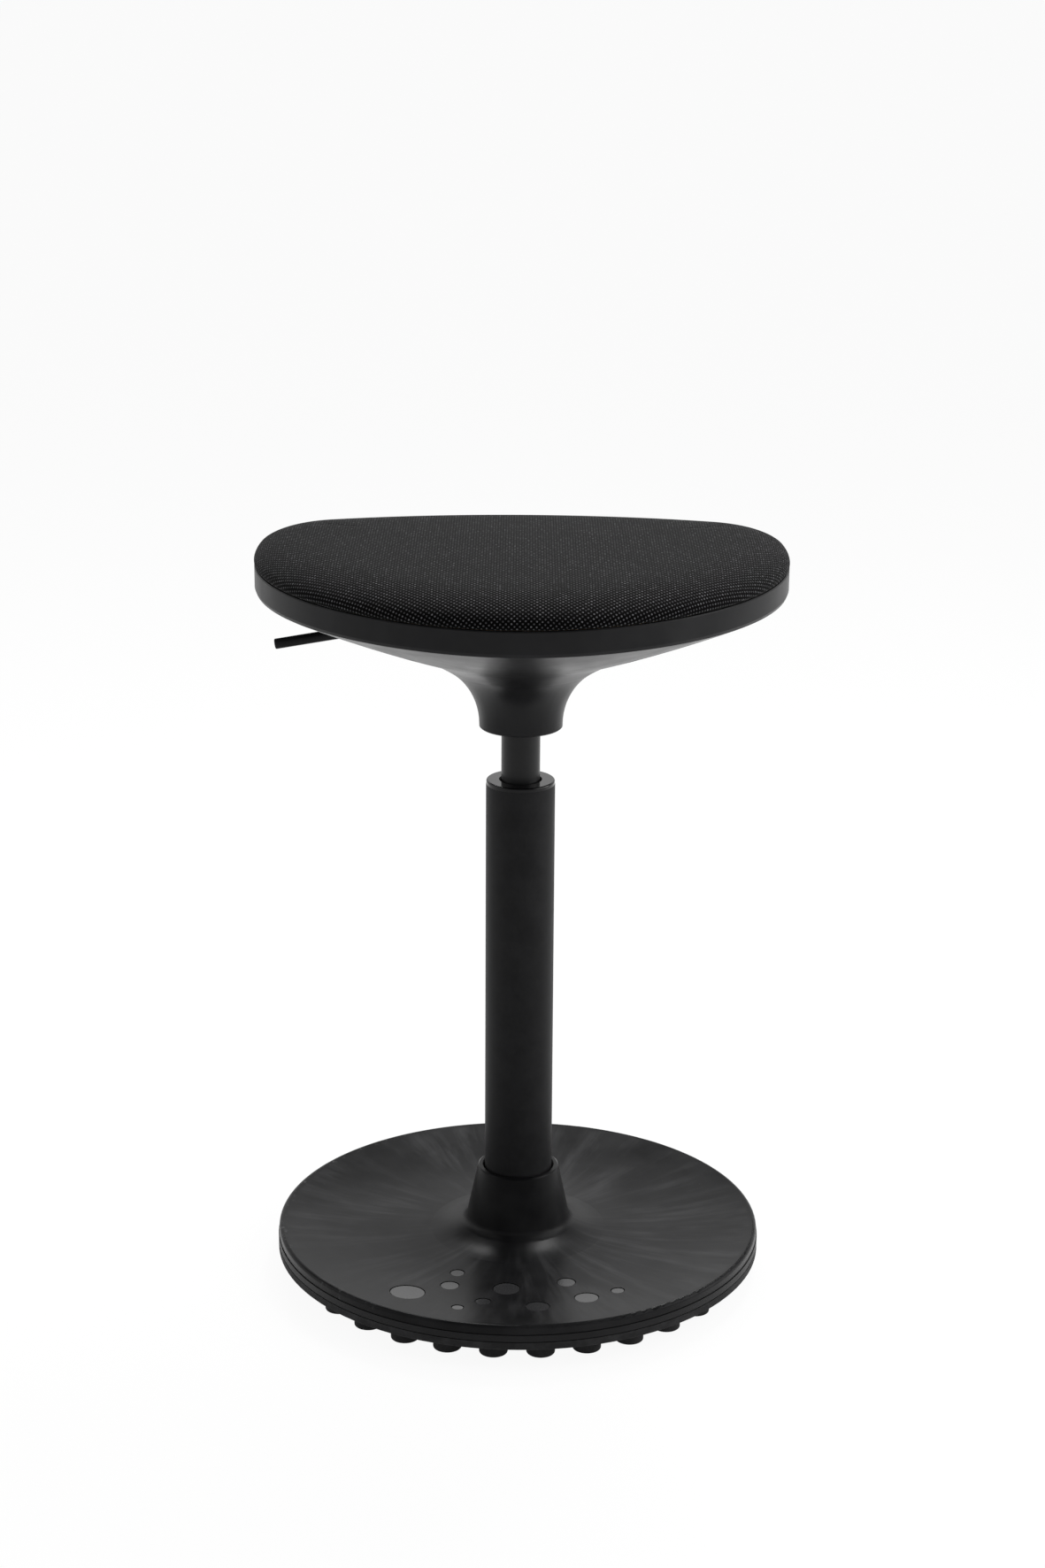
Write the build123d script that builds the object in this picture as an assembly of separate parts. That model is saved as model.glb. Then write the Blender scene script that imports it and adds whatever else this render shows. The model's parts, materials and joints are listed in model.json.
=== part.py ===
"""Sit-stand rocking stool: a dished base on rubber nubs, a gas-lift column and a padded seat.

Lengths are millimetres and angles are degrees. Z is up, the floor is at zero, and the column's
axis is the Z axis. The seat's rounded point faces -Y. The column is at its lowest position.
"""
import os
from math import atan, cos, degrees, radians, sin, sqrt, tan

from build123d import *

# Clearances shared by many pieces
overrun = 5.0                # how far a cutting shape reaches past what it cuts
nest_gap = 0.2               # between the nested discs of the base
slide_gap = 0.06             # radial gap of a piece that slides or turns in another
assembly_gap = 0.05          # radial gap of a screw or plug in its hole
soft_gap = 0.3               # between the cushion and the shell's rim
stop_gap = 0.3               # between the cylinder's end and its rubber buffer

# Base: sizes across and the dished top
base_radius = 180.0
cover_set_back = 0.6
cover_radius = base_radius - cover_set_back
cover_wall = 3.5
dish_low = 27.0              # height of the dish's lowest line above the floor
dish_flat_share = 0.5        # share of the base's radius inside which the underside is level
dish_flat_radius = base_radius * dish_flat_share
dish_arc_radius = 520.0
lip_round = 2.5
cover_edge_gap = 0.4
front_angle = -90.0          # direction of the seat's rounded point
half_turn = 180.0
full_turn = 2 * half_turn

# Collar of the base cover
collar_radius = 29.9
collar_top = 78.2
collar_bore_radius = 25.9
collar_land = 6.0
collar_edge = 0.8
cone_angle = 12.0
cone_wall = 2.8
flare_round = 8.6            # radius of the small arc at the cone's foot
flare_slope = 25.0           # slope at which it gives way to the wide arc
flare_sweep = 60.0           # radius of the wide arc that runs out into the dish

# Inlaid round discs on the front of the dish, as shares of the base radius: x, y and diameter
inlay_shares = (
    (-0.439, -0.652, 0.144),
    (-0.244, -0.448, 0.062),
    (-0.272, -0.567, 0.079),
    (-0.044, -0.591, 0.113),
    (-0.136, -0.719, 0.067),
    (-0.236, -0.788, 0.052),
    (0.080, -0.767, 0.101),
    (0.197, -0.528, 0.079),
    (0.276, -0.681, 0.101),
    (0.402, -0.616, 0.058),
)
inlay_depth = 0.9
inlay_thickness = 0.5
inlay_sink = 0.35
inlay_gap = 0.7

# Steel disc, sole pan and rubber sole
disc_thickness = 3.8
disc_set_back = 14.0
disc_radius = base_radius - disc_set_back
disc_bore_gap = 0.15
pan_thickness = 2.5
pan_rim_width = 9.0
pan_rim_drop = 1.0           # how far the pan's rim reaches below the pan beside it
pan_rim_height = 5.3
sole_edge_height = 5.6
base_edge_chamfer = 0.5      # on the lower edges of the pan's rim and of the sole
first_ring_count = 6         # nubs in the first ring; each ring outward has as many more
standing_ring_count = 2      # rings that stand on the floor at rest
nub_pitch = 32.0
nub_margin = 18.0            # least distance from the outer ring of nubs to the sole's edge
nub_ring_count = int((base_radius - nub_margin) / nub_pitch)
nub_diameter = 20.5
nub_height = 11.0
nub_round = 1.3
nub_root = 1.5
edge_lift = 4.4              # height of the outer ring of nubs above the floor

# Screws that hold the pan and the steel disc to the cover
base_screw_count = 6
base_screw_margin = 12.0
base_screw_circle = dish_flat_radius - base_screw_margin
base_screw_radius = 2.0
base_screw_head_radius = 4.0
base_screw_head_height = 1.8
base_screw_depth = 8.5
base_boss_radius = 5.0
base_boss_gap = 0.6

# Column: tube, its socket on the steel disc and the guide bush
tube_radius = 25.0
tube_wall = 2.0
tube_length = 357.0
socket_gap = 0.1
socket_wall = 3.4
socket_height = 44.0
socket_foot = 2.5
grub_count = 3
grub_radius = 3.0
grub_height = 28.0
grub_length = 3.4
bush_flange_radius = 24.8
bush_flange_height = 3.4
bush_flange_round = 1.2
bush_mouth_radius = 15.6
bush_mouth_depth = 5.0
bush_length = 75.0
bush_land = 11.0
bush_relief = 1.2
bush_side_gap = 0.05
foot_plate_inset = 4.5
foot_plate_thickness = 5.0
foot_plate_bore_gap = 0.2

# Thrust bearing under the piston rod
washer_thickness = 2.0
washer_radius = 14.0
ball_diameter = 4.0
ball_count = 10
ball_circle = 9.5
race_gap = 0.02
cage_thickness = 1.6
cage_land = 1.4
cage_gap = 0.1

# Piston rod and what it carries
rod_radius = 5.0
rod_foot_radius = 4.0
rod_foot_drop = 3.5
clip_thickness = 1.2
clip_radius = 7.5
clip_groove_depth = 0.8
clip_gap = 0.3
buffer_height = 10.0
buffer_radius = 12.0
piston_length = 18.0
piston_gap = 5.0
piston_neck = 1.0
ring_height = 3.0
ring_depth = 1.6

# Gas cylinder
cylinder_radius = 14.0
cylinder_wall = 1.5
cylinder_length = 449.0
cylinder_lip = 2.5
cylinder_lip_radius = 8.0
taper_length = 46.0
taper_angle = 1.43
rod_guide_length = 40.0
seal_length = 5.0
plug_gap = 0.1
valve_flange_length = 4.0
valve_button_radius = 4.0
valve_button_stand = 5.1     # height of the button above the cylinder's end
valve_stem_length = 30.0
valve_bore_spare = 4.0

# Seat mechanism
mech_width = 130.0
mech_depth = 100.0
mech_thickness = 2.5
mech_corner = 10.0
cylinder_above_mech = 2.5
taper_socket_wall = 3.0
taper_socket_length = 45.0
mech_screw_x = 52.0
mech_screw_y = 38.0
mech_screw_radius = 3.0
mech_screw_head_radius = 5.5
mech_screw_head_height = 3.5
mech_screw_depth = 16.0
mech_boss_radius = 8.0

# Release lever, its bracket and its pin
pivot_x = -26.0
pivot_rise = 11.5
pin_radius = 2.5
pin_head_radius = 4.2
pin_head_height = 1.5
lever_radius = 3.75
lever_reach = 175.5
lever_dip = 9.9
lever_end_chamfer = 0.5
lever_barrel_radius = 6.5
lever_barrel_width = 14.0
lever_nose_radius = 4.0
lever_nose_width = 10.0
lever_nose_gap = 0.15
lever_web_height = 6.0
bracket_wall = 2.0
bracket_length = 15.0
bracket_side_gap = 0.3
slot_start = 98.0
slot_end = 158.0
slot_width = 13.0

# Seat outline: tangent arcs from the front apex round to the back
apex_reach = 167.0
apex_radius = 152.0
apex_half_angle = 20.0
side_radius = 213.0
side_end_angle = 6.0
corner_radius = 62.0
corner_end_angle = 74.0

# Seat shell
shell_wall = 3.0
shell_depth = 112.3
rim_above_mech = 40.5
band_height = 15.5
band_edge_inset = 3.0
band_edge_drop = 3.4
band_mid_inset = 0.9
band_mid_drop = 2.2
rim_chamfer = 0.7
hub_radius = 30.0
hub_straight = 2.0
hub_bevel = 0.8
flare_radius = 50.0
flare_angle = 55.0
shoulder_radius = 130.0
bowl_start_slope = 18.0
bowl_belly_share = 0.13
bowl_section_shares = (0.0, 0.25, 0.5, 0.75, 1.0)
bowl_lap = 5.0               # how far the flare reaches up into the bowl

# Seat board, its screws and tee nuts
board_thickness = 9.5
board_gap = 1.0
board_screw_back = (108.0, 55.0)
board_screw_front = (76.0, -80.0)
board_boss_radius = 8.0
board_screw_radius = 2.5
board_screw_head_radius = 4.5
board_screw_head_height = 3.0
board_screw_seat = 28.0      # depth of the screw heads' seat under the rim's top
tee_nut_radius = 3.8
tee_nut_flange_radius = 9.0
tee_nut_flange_height = 1.2

# Cushion
cushion_edge_height = 19.0
cushion_edge_depth = 45.0
cushion_crown = 2.0
cushion_overhang = 0.2
cushion_tuck = 1.5
cushion_tuck_height = 2.5
cushion_edge_angles = (0, 20, 40, 58, 75, 90)
cushion_top_share = 0.3

# Heights that follow from the sizes above
disc_top = dish_low - cover_wall - nest_gap
disc_bottom = disc_top - disc_thickness
pan_top = disc_bottom - nest_gap
pan_bottom = pan_top - pan_thickness
sole_top = pan_bottom - nest_gap
tube_bottom = disc_bottom
tube_top = tube_bottom + tube_length
foot_plate_bottom = tube_bottom + foot_plate_inset
foot_plate_top = foot_plate_bottom + foot_plate_thickness
low_washer_top = foot_plate_top + washer_thickness
ball_centre = low_washer_top + race_gap + ball_diameter / 2
high_washer_bottom = ball_centre + ball_diameter / 2 + race_gap
high_washer_top = high_washer_bottom + washer_thickness
buffer_top = high_washer_top + buffer_height
cylinder_bottom = buffer_top + stop_gap
cylinder_top = cylinder_bottom + cylinder_length
cylinder_bore_radius = cylinder_radius - cylinder_wall
taper_tip_radius = cylinder_radius - taper_length * tan(radians(taper_angle))
rod_guide_bottom = cylinder_bottom + cylinder_lip
rod_guide_top = rod_guide_bottom + rod_guide_length
valve_bottom = cylinder_top - taper_length - valve_flange_length
piston_top = valve_bottom - piston_gap
mech_top = cylinder_top - cylinder_above_mech
mech_bottom = mech_top - mech_thickness
rim_top = mech_bottom + rim_above_mech
hub_bottom = rim_top - shell_depth
pivot_z = mech_top + pivot_rise
board_bottom = rim_top - board_thickness
button_top = cylinder_top + valve_button_stand


def tube_solid(inner, outer, low, high):
    """Upright cylinder from low to high, hollow when inner is more than zero."""
    height = high - low
    solid = Pos(0, 0, low) * Cylinder(outer, height, align=(Align.CENTER, Align.CENTER, Align.MIN))
    if inner > 0:
        bore = Cylinder(inner, height + 2 * overrun, align=(Align.CENTER, Align.CENTER, Align.MIN))
        solid -= Pos(0, 0, low - overrun) * bore
    return solid


def at(radius, height):
    """Point of a turned outline, in the XZ plane."""
    return Vector(radius, 0, height)


def chain(*points):
    """Straight edges through the points of a turned outline, leaving out repeated points."""
    pairs = zip(points[:-1], points[1:])
    return [Line(first, last) for first, last in pairs if (last - first).length > 0]


def turned(edges):
    """Solid of a closed outline in the XZ plane turned about the Z axis."""
    return revolve(make_face(edges), Axis.Z)


def around(count, radius, start=0.0):
    """Places spread evenly on a circle about the Z axis."""
    step = full_turn / count
    angles = [radians(start + index * step) for index in range(count)]
    return [(radius * cos(angle), radius * sin(angle)) for angle in angles]


def joined(solids):
    """Group of separate solids in one node."""
    return Compound(children=[solid for shape in solids for solid in shape.solids()])


def dish_height(radius, drop):
    """Height of the surface that lies a given drop under the dish, parallel to it."""
    if radius <= dish_flat_radius:
        return dish_low - drop
    reach = radius - dish_flat_radius
    return dish_low + dish_arc_radius - sqrt((dish_arc_radius + drop) ** 2 - reach ** 2)


def pan_rim_inner():
    """Inner radius of the pan's rim."""
    return base_radius - pan_rim_width


def pan_rim_low():
    """Height of the underside of the pan's rim."""
    return dish_height(pan_rim_inner(), dish_low - pan_bottom) - pan_rim_drop


def pan_rim_high():
    """Height of the top of the pan's rim."""
    return pan_rim_low() + pan_rim_height


def sole_edge_low():
    """Height of the underside of the sole's edge."""
    return pan_rim_low() - nest_gap - sole_edge_height


def dish_arc(start, end, drop):
    """Arc parallel to the dish between two radii."""
    middle = (start + end) / 2
    return ThreePointArc(
        at(start, dish_height(start, drop)),
        at(middle, dish_height(middle, drop)),
        at(end, dish_height(end, drop)),
    )


def dished_layer(inner, outer, top_drop, bottom_drop):
    """Disc that follows the dish, between two drops under its surface."""
    top_edge = dish_height(outer, top_drop)
    bottom_edge = dish_height(outer, bottom_drop)
    flat_top = dish_low - top_drop
    flat_bottom = dish_low - bottom_drop
    edges = [dish_arc(dish_flat_radius, outer, top_drop)]
    edges += chain(at(outer, top_edge), at(outer, bottom_edge))
    edges += [dish_arc(outer, dish_flat_radius, bottom_drop)]
    edges += chain(
        at(dish_flat_radius, flat_bottom),
        at(inner, flat_bottom),
        at(inner, flat_top),
        at(dish_flat_radius, flat_top),
    )
    return turned(edges)


def base_screw_places():
    """Centres of the base screws."""
    return around(base_screw_count, base_screw_circle)


def inlay_places():
    """Centre and radius of each inlaid disc."""
    places = []
    for x_share, y_share, diameter_share in inlay_shares:
        centre = (base_radius * x_share, base_radius * y_share)
        places.append((centre, base_radius * diameter_share / 2))
    return places


def inlay_layer(top_drop, bottom_drop, gap):
    """Discs at the inlay places, cut from a layer that follows the dish."""
    layer = dished_layer(collar_radius, disc_radius, top_drop, bottom_drop)
    discs = []
    for (x, y), radius in inlay_places():
        column = Pos(x, y, 0) * Cylinder(radius - gap, collar_top * 2)
        discs.append(layer & column)
    return discs


def cone_radius(height):
    """Radius of the collar's outer cone at a height."""
    return collar_radius + (collar_top - height) * tan(radians(cone_angle))


def flare_edges():
    """Arcs from the collar's cone into the dish: a small one, then a wide one.

    The small arc starts as far down the cone as lets the wide arc touch the dish's arc from
    inside, where their centres are the difference of their radii apart.
    """
    cone_way = Vector(sin(radians(cone_angle)), 0, -cos(radians(cone_angle)))
    flare_way = Vector(cos(radians(flare_slope)), 0, -sin(radians(flare_slope)))
    small_step = (turned_up(cone_way) - turned_up(flare_way)) * flare_round
    wide_centre = turned_up(flare_way) * flare_sweep
    dish_centre = at(dish_flat_radius, dish_low + dish_arc_radius)
    offset = at(collar_radius, collar_top) + small_step + wide_centre - dish_centre
    slant = offset.dot(cone_way)
    lack = (dish_arc_radius - flare_sweep) ** 2 - offset.dot(offset)
    travel = sqrt(slant ** 2 + lack) - slant
    start = at(collar_radius, collar_top) + cone_way * travel
    change = start + small_step
    touch = dish_centre + (offset + cone_way * travel).normalized() * dish_arc_radius
    small_arc = TangentArc(start, change, tangent=cone_way)
    wide_arc = TangentArc(change, touch, tangent=flare_way)
    return start, touch, [small_arc, wide_arc]


def turned_up(way):
    """A direction in the XZ plane turned a quarter turn upwards."""
    return Vector(-way.Z, 0, way.X)


def make_base_cover():
    """Moulded dish with its collar, screw bosses and pits for the inlaid discs."""
    flare_start, flare_end, flare_arcs = flare_edges()
    dish_centre = at(dish_flat_radius, dish_low + dish_arc_radius)
    dish_way = turned_up(flare_end - dish_centre)
    # Where the dish's arc gives way to the rounded lip
    lip_start = cover_radius - lip_round + lip_round * dish_flat_radius / dish_arc_radius
    lip_start /= 1 + lip_round / dish_arc_radius
    lip_sine = (lip_start - dish_flat_radius) / dish_arc_radius
    lip_cosine = sqrt(1 - lip_sine ** 2)
    lip_height = dish_height(lip_start, 0)
    wall_inner = cover_radius - cover_wall
    wall_low = pan_rim_high() + cover_edge_gap
    underside = dish_low - cover_wall
    land_low = collar_top - collar_land
    edges = chain(
        at(collar_bore_radius, land_low),
        at(collar_bore_radius, collar_top - collar_edge),
        at(collar_bore_radius + collar_edge, collar_top),
        at(collar_radius - collar_edge, collar_top),
        at(cone_radius(collar_top - collar_edge), collar_top - collar_edge),
        flare_start,
    )
    edges += flare_arcs
    edges += [TangentArc(flare_end, at(lip_start, lip_height), tangent=dish_way)]
    edges += [
        TangentArc(
            at(lip_start, lip_height),
            at(cover_radius, lip_height - lip_round * lip_cosine),
            tangent=Vector(lip_cosine, 0, lip_sine),
        )
    ]
    edges += chain(
        at(cover_radius, lip_height - lip_round * lip_cosine),
        at(cover_radius, wall_low),
        at(wall_inner, wall_low),
        at(wall_inner, dish_height(wall_inner, cover_wall)),
    )
    edges += [dish_arc(wall_inner, dish_flat_radius, cover_wall)]
    edges += chain(
        at(dish_flat_radius, underside),
        at(cone_radius(underside) - cone_wall, underside),
        at(cone_radius(land_low) - cone_wall, land_low),
        at(collar_bore_radius, land_low),
    )
    cover = turned(edges)
    boss_low = pan_top + nest_gap
    for x, y in base_screw_places():
        cover += Pos(x, y, 0) * tube_solid(0, base_boss_radius, boss_low, disc_top + 2 * nest_gap)
    hole_top = pan_bottom + base_screw_depth + nest_gap
    for x, y in base_screw_places():
        cover -= Pos(x, y, 0) * tube_solid(
            0, base_screw_radius + assembly_gap, boss_low - overrun, hole_top
        )
    for pit in inlay_layer(-overrun, inlay_depth, 0):
        cover -= pit
    return cover


def make_base_disc():
    """Pressed steel disc under the cover, with a hole for the tube and for the bosses."""
    top_drop = cover_wall + nest_gap
    bore = tube_radius + disc_bore_gap
    disc = dished_layer(bore, disc_radius, top_drop, top_drop + disc_thickness)
    hole = base_boss_radius + base_boss_gap
    for x, y in base_screw_places():
        disc -= Pos(x, y, 0) * tube_solid(0, hole, disc_bottom - overrun, disc_top + overrun)
    return disc


def make_sole_pan():
    """Moulded pan that closes the base from below and shows as a ring under the cover."""
    rim_inner = pan_rim_inner()
    top_drop = dish_low - pan_top
    bottom_drop = dish_low - pan_bottom
    edges = [dish_arc(dish_flat_radius, rim_inner, top_drop)]
    edges += chain(
        at(rim_inner, dish_height(rim_inner, top_drop)),
        at(rim_inner, pan_rim_high()),
        at(base_radius, pan_rim_high()),
        at(base_radius, pan_rim_low() + base_edge_chamfer),
        at(base_radius - base_edge_chamfer, pan_rim_low()),
        at(rim_inner, pan_rim_low()),
        at(rim_inner, dish_height(rim_inner, bottom_drop)),
    )
    edges += [dish_arc(rim_inner, dish_flat_radius, bottom_drop)]
    edges += chain(
        at(dish_flat_radius, pan_bottom),
        at(0, pan_bottom),
        at(0, pan_top),
        at(dish_flat_radius, pan_top),
    )
    pan = turned(edges)
    shank = base_screw_radius + assembly_gap
    head = base_screw_head_radius + assembly_gap
    sink = Cone(head, shank, base_screw_head_height, align=(Align.CENTER, Align.CENTER, Align.MIN))
    for x, y in base_screw_places():
        pan -= Pos(x, y, 0) * tube_solid(0, shank, pan_bottom - overrun, pan_top + overrun)
        pan -= Pos(x, y, pan_bottom) * sink
    return pan


def make_base_screw():
    """Countersunk screw, head downwards, at the column's axis."""
    head = Cone(
        base_screw_head_radius,
        base_screw_radius,
        base_screw_head_height,
        align=(Align.CENTER, Align.CENTER, Align.MIN),
    )
    shank = tube_solid(0, base_screw_radius, pan_bottom, pan_bottom + base_screw_depth)
    return Pos(0, 0, pan_bottom) * head + shank


def standing_radius():
    """Radius of the sole's level middle, on which the stool stands."""
    return standing_ring_count * nub_pitch + nub_diameter / 2 + nub_round


def rocker_radius():
    """Radius of the arc by which the sole rises from its level middle to its outer nubs."""
    reach = nub_ring_count * nub_pitch - standing_radius()
    return (reach ** 2 + edge_lift ** 2) / (2 * edge_lift)


def sole_rise(radius):
    """Height of the sole's underside over its level middle."""
    reach = max(radius - standing_radius(), 0)
    return rocker_radius() - sqrt(rocker_radius() ** 2 - reach ** 2)


def make_rubber_sole():
    """Rubber sole, level in the middle and rising to its edge, with rings of moulded nubs."""
    level = standing_radius()
    edge_low = sole_edge_low()
    rise = edge_low - nub_height
    arc_end = level + sqrt(rocker_radius() ** 2 - (rocker_radius() - rise) ** 2)
    arc_middle = (level + arc_end) / 2
    rim_inner = pan_rim_inner() - nest_gap
    rim_high = pan_rim_low() - nest_gap
    top_drop = dish_low - sole_top
    edges = [dish_arc(dish_flat_radius, rim_inner, top_drop)]
    edges += chain(
        at(rim_inner, dish_height(rim_inner, top_drop)),
        at(rim_inner, rim_high),
        at(base_radius, rim_high),
        at(base_radius, edge_low + base_edge_chamfer),
        at(base_radius - base_edge_chamfer, edge_low),
        at(arc_end, edge_low),
    )
    edges += [
        ThreePointArc(
            at(arc_end, edge_low),
            at(arc_middle, nub_height + sole_rise(arc_middle)),
            at(level, nub_height),
        )
    ]
    edges += chain(
        at(level, nub_height),
        at(0, nub_height),
        at(0, sole_top),
        at(dish_flat_radius, sole_top),
    )
    sole = turned(edges)
    nub = tube_solid(0, nub_diameter / 2, 0, nub_height + nub_root)
    nub = fillet(nub.edges().group_by(Axis.Z)[0], nub_round)
    nubs = [nub]
    for ring in range(1, nub_ring_count + 1):
        count = ring * first_ring_count
        half_step = half_turn / count
        for x, y in around(count, ring * nub_pitch, front_angle + half_step):
            nubs.append(Pos(x, y, sole_rise(ring * nub_pitch)) * nub)
    return sole + nubs


def make_column_socket():
    """Steel sleeve welded on the disc, in which the tube stands, with holes for grub screws."""
    inner = tube_radius + socket_gap
    outer = inner + socket_wall
    high = disc_top + socket_height
    socket = turned(
        chain(
            at(inner, disc_top),
            at(outer + socket_foot, disc_top),
            at(outer, disc_top + socket_foot),
            at(outer, high),
            at(inner, high),
            at(inner, disc_top),
        )
    )
    hole = Cylinder(
        grub_radius + assembly_gap,
        outer + overrun,
        align=(Align.CENTER, Align.CENTER, Align.MIN),
    )
    for index in range(grub_count):
        turn = Rot(0, 0, index * full_turn / grub_count)
        socket -= Pos(0, 0, disc_top + grub_height) * turn * Rot(0, 90, 0) * hole
    return socket


def make_grub_screws():
    """Grub screws that clamp the tube in its socket."""
    screw = Cylinder(grub_radius, grub_length, align=(Align.CENTER, Align.CENTER, Align.MIN))
    start = tube_radius + assembly_gap
    screws = []
    for index in range(grub_count):
        turn = Rot(0, 0, index * full_turn / grub_count)
        screws.append(Pos(0, 0, disc_top + grub_height) * turn * Pos(start, 0, 0) * Rot(0, 90, 0) * screw)
    return screws


def make_guide_bush():
    """Plastic bush in the tube's top, with a flange that shows as a ring over the tube."""
    guide = cylinder_radius + slide_gap
    side = tube_radius - tube_wall - bush_side_gap
    flange_top = tube_top + bush_flange_height
    low = tube_top - bush_length
    relief_high = tube_top - bush_land
    relief_low = low + bush_land
    rounding = bush_flange_round
    edges = chain(
        at(guide, low),
        at(side, low),
        at(side, tube_top),
        at(bush_flange_radius, tube_top),
        at(bush_flange_radius, flange_top - rounding),
    )
    edges += [
        TangentArc(
            at(bush_flange_radius, flange_top - rounding),
            at(bush_flange_radius - rounding, flange_top),
            tangent=Vector(0, 0, 1),
        )
    ]
    edges += chain(
        at(bush_flange_radius - rounding, flange_top),
        at(bush_mouth_radius, flange_top),
        at(guide, flange_top - bush_mouth_depth),
        at(guide, relief_high),
        at(guide + bush_relief, relief_high - bush_relief),
        at(guide + bush_relief, relief_low + bush_relief),
        at(guide, relief_low),
        at(guide, low),
    )
    return turned(edges)


def make_ball_cage():
    """Flat ring with a pocket for each ball."""
    half = ball_diameter / 2 + cage_gap + cage_land
    cage = tube_solid(
        ball_circle - half,
        ball_circle + half,
        ball_centre - cage_thickness / 2,
        ball_centre + cage_thickness / 2,
    )
    for x, y in around(ball_count, ball_circle):
        cage -= Pos(x, y, ball_centre) * Cylinder(ball_diameter / 2 + cage_gap, ball_diameter)
    return cage


def make_balls():
    """Steel balls of the thrust bearing."""
    return [Pos(x, y, ball_centre) * Sphere(ball_diameter / 2) for x, y in around(ball_count, ball_circle)]


def make_piston_rod():
    """Piston rod with a stepped foot, a groove for its clip and a neck for the piston."""
    foot_end = foot_plate_bottom - rod_foot_drop
    groove_high = foot_plate_bottom - clip_gap
    groove_low = groove_high - clip_thickness - assembly_gap
    groove = rod_foot_radius - clip_groove_depth
    neck_low = piston_top - piston_length
    neck = rod_radius - piston_neck
    return turned(
        chain(
            at(0, foot_end),
            at(rod_foot_radius, foot_end),
            at(rod_foot_radius, groove_low),
            at(groove, groove_low),
            at(groove, groove_high),
            at(rod_foot_radius, groove_high),
            at(rod_foot_radius, high_washer_top),
            at(rod_radius, high_washer_top),
            at(rod_radius, neck_low),
            at(neck, neck_low),
            at(neck, piston_top),
            at(0, piston_top),
            at(0, foot_end),
        )
    )


def make_rod_clip():
    """Horseshoe clip in the groove under the tube's foot plate."""
    high = foot_plate_bottom - clip_gap
    inner = rod_foot_radius - clip_groove_depth + assembly_gap
    clip = tube_solid(inner, clip_radius, high - clip_thickness, high)
    mouth = Box(
        clip_radius + overrun,
        2 * inner,
        2 * clip_thickness,
        align=(Align.MIN, Align.CENTER, Align.CENTER),
    )
    return clip - Pos(0, 0, high - clip_thickness / 2) * mouth


def make_piston():
    """Piston on the rod's neck, with a groove for its ring."""
    outer = cylinder_bore_radius - slide_gap
    groove_low = piston_top - piston_length / 2 - ring_height / 2
    inner = rod_radius - piston_neck + assembly_gap
    piston = tube_solid(inner, outer, piston_top - piston_length, piston_top)
    return piston - tube_solid(outer - ring_depth, outer + overrun, groove_low, groove_low + ring_height)


def make_piston_ring():
    """Sealing ring in the piston's groove."""
    outer = cylinder_bore_radius - slide_gap
    low = piston_top - piston_length / 2 - ring_height / 2 + assembly_gap
    return tube_solid(outer - ring_depth + assembly_gap, outer, low, low + ring_height - 2 * assembly_gap)


def make_gas_cylinder():
    """Steel cylinder with a tapered upper end and rolled-in lips at both ends."""
    taper_low = cylinder_top - taper_length
    bore_tip = taper_tip_radius - cylinder_wall
    return turned(
        chain(
            at(cylinder_lip_radius, cylinder_bottom),
            at(cylinder_radius, cylinder_bottom),
            at(cylinder_radius, taper_low),
            at(taper_tip_radius, cylinder_top),
            at(cylinder_lip_radius, cylinder_top),
            at(cylinder_lip_radius, cylinder_top - cylinder_lip),
            at(bore_tip, cylinder_top - cylinder_lip),
            at(cylinder_bore_radius, taper_low),
            at(cylinder_bore_radius, rod_guide_bottom),
            at(cylinder_lip_radius, rod_guide_bottom),
            at(cylinder_lip_radius, cylinder_bottom),
        )
    )


def make_valve_body():
    """Valve block in the cylinder's upper end, with a blind bore for the button's stem."""
    flange = cylinder_bore_radius - plug_gap
    body = taper_tip_radius - cylinder_wall - plug_gap
    high = cylinder_top - cylinder_lip
    valve = tube_solid(0, body, valve_bottom, high)
    valve += tube_solid(0, flange, valve_bottom, valve_bottom + valve_flange_length)
    bore_low = cylinder_top - valve_stem_length - valve_bore_spare
    return valve - tube_solid(0, valve_button_radius + slide_gap, bore_low, high + overrun)


def make_taper_socket():
    """Steel sleeve under the mechanism plate that grips the cylinder's taper."""
    low = mech_bottom - taper_socket_length
    taper_low = cylinder_top - taper_length
    slope = tan(radians(taper_angle))
    bore_high = taper_tip_radius + (cylinder_top - mech_bottom) * slope + assembly_gap
    bore_low = cylinder_radius + assembly_gap
    outer = cylinder_radius + taper_socket_wall
    return turned(
        chain(
            at(bore_low, low),
            at(outer, low),
            at(outer, mech_bottom),
            at(bore_high, mech_bottom),
            at(bore_low, taper_low),
            at(bore_low, low),
        )
    )


def mech_screw_places():
    """Centres of the screws that hold the mechanism plate in the shell."""
    return [(x, y) for x in (-mech_screw_x, mech_screw_x) for y in (-mech_screw_y, mech_screw_y)]


def make_mech_plate():
    """Pressed steel plate over the taper socket, screwed to the shell's bosses."""
    plate = extrude(RectangleRounded(mech_width, mech_depth, mech_corner), mech_thickness)
    plate = Pos(0, 0, mech_bottom) * plate
    slope = tan(radians(taper_angle))
    hole = taper_tip_radius + (cylinder_top - mech_bottom) * slope + assembly_gap
    plate -= tube_solid(0, hole, mech_bottom - overrun, mech_top + overrun)
    for x, y in mech_screw_places():
        plate -= Pos(x, y, 0) * tube_solid(
            0, mech_screw_radius + assembly_gap, mech_bottom - overrun, mech_top + overrun
        )
    return plate


def make_mech_screws():
    """Pan-head screws through the mechanism plate into the shell."""
    head = tube_solid(0, mech_screw_head_radius, mech_top, mech_top + mech_screw_head_height)
    screw = head + tube_solid(0, mech_screw_radius, mech_top - mech_screw_depth, mech_top)
    return [Pos(x, y, 0) * screw for x, y in mech_screw_places()]


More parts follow.
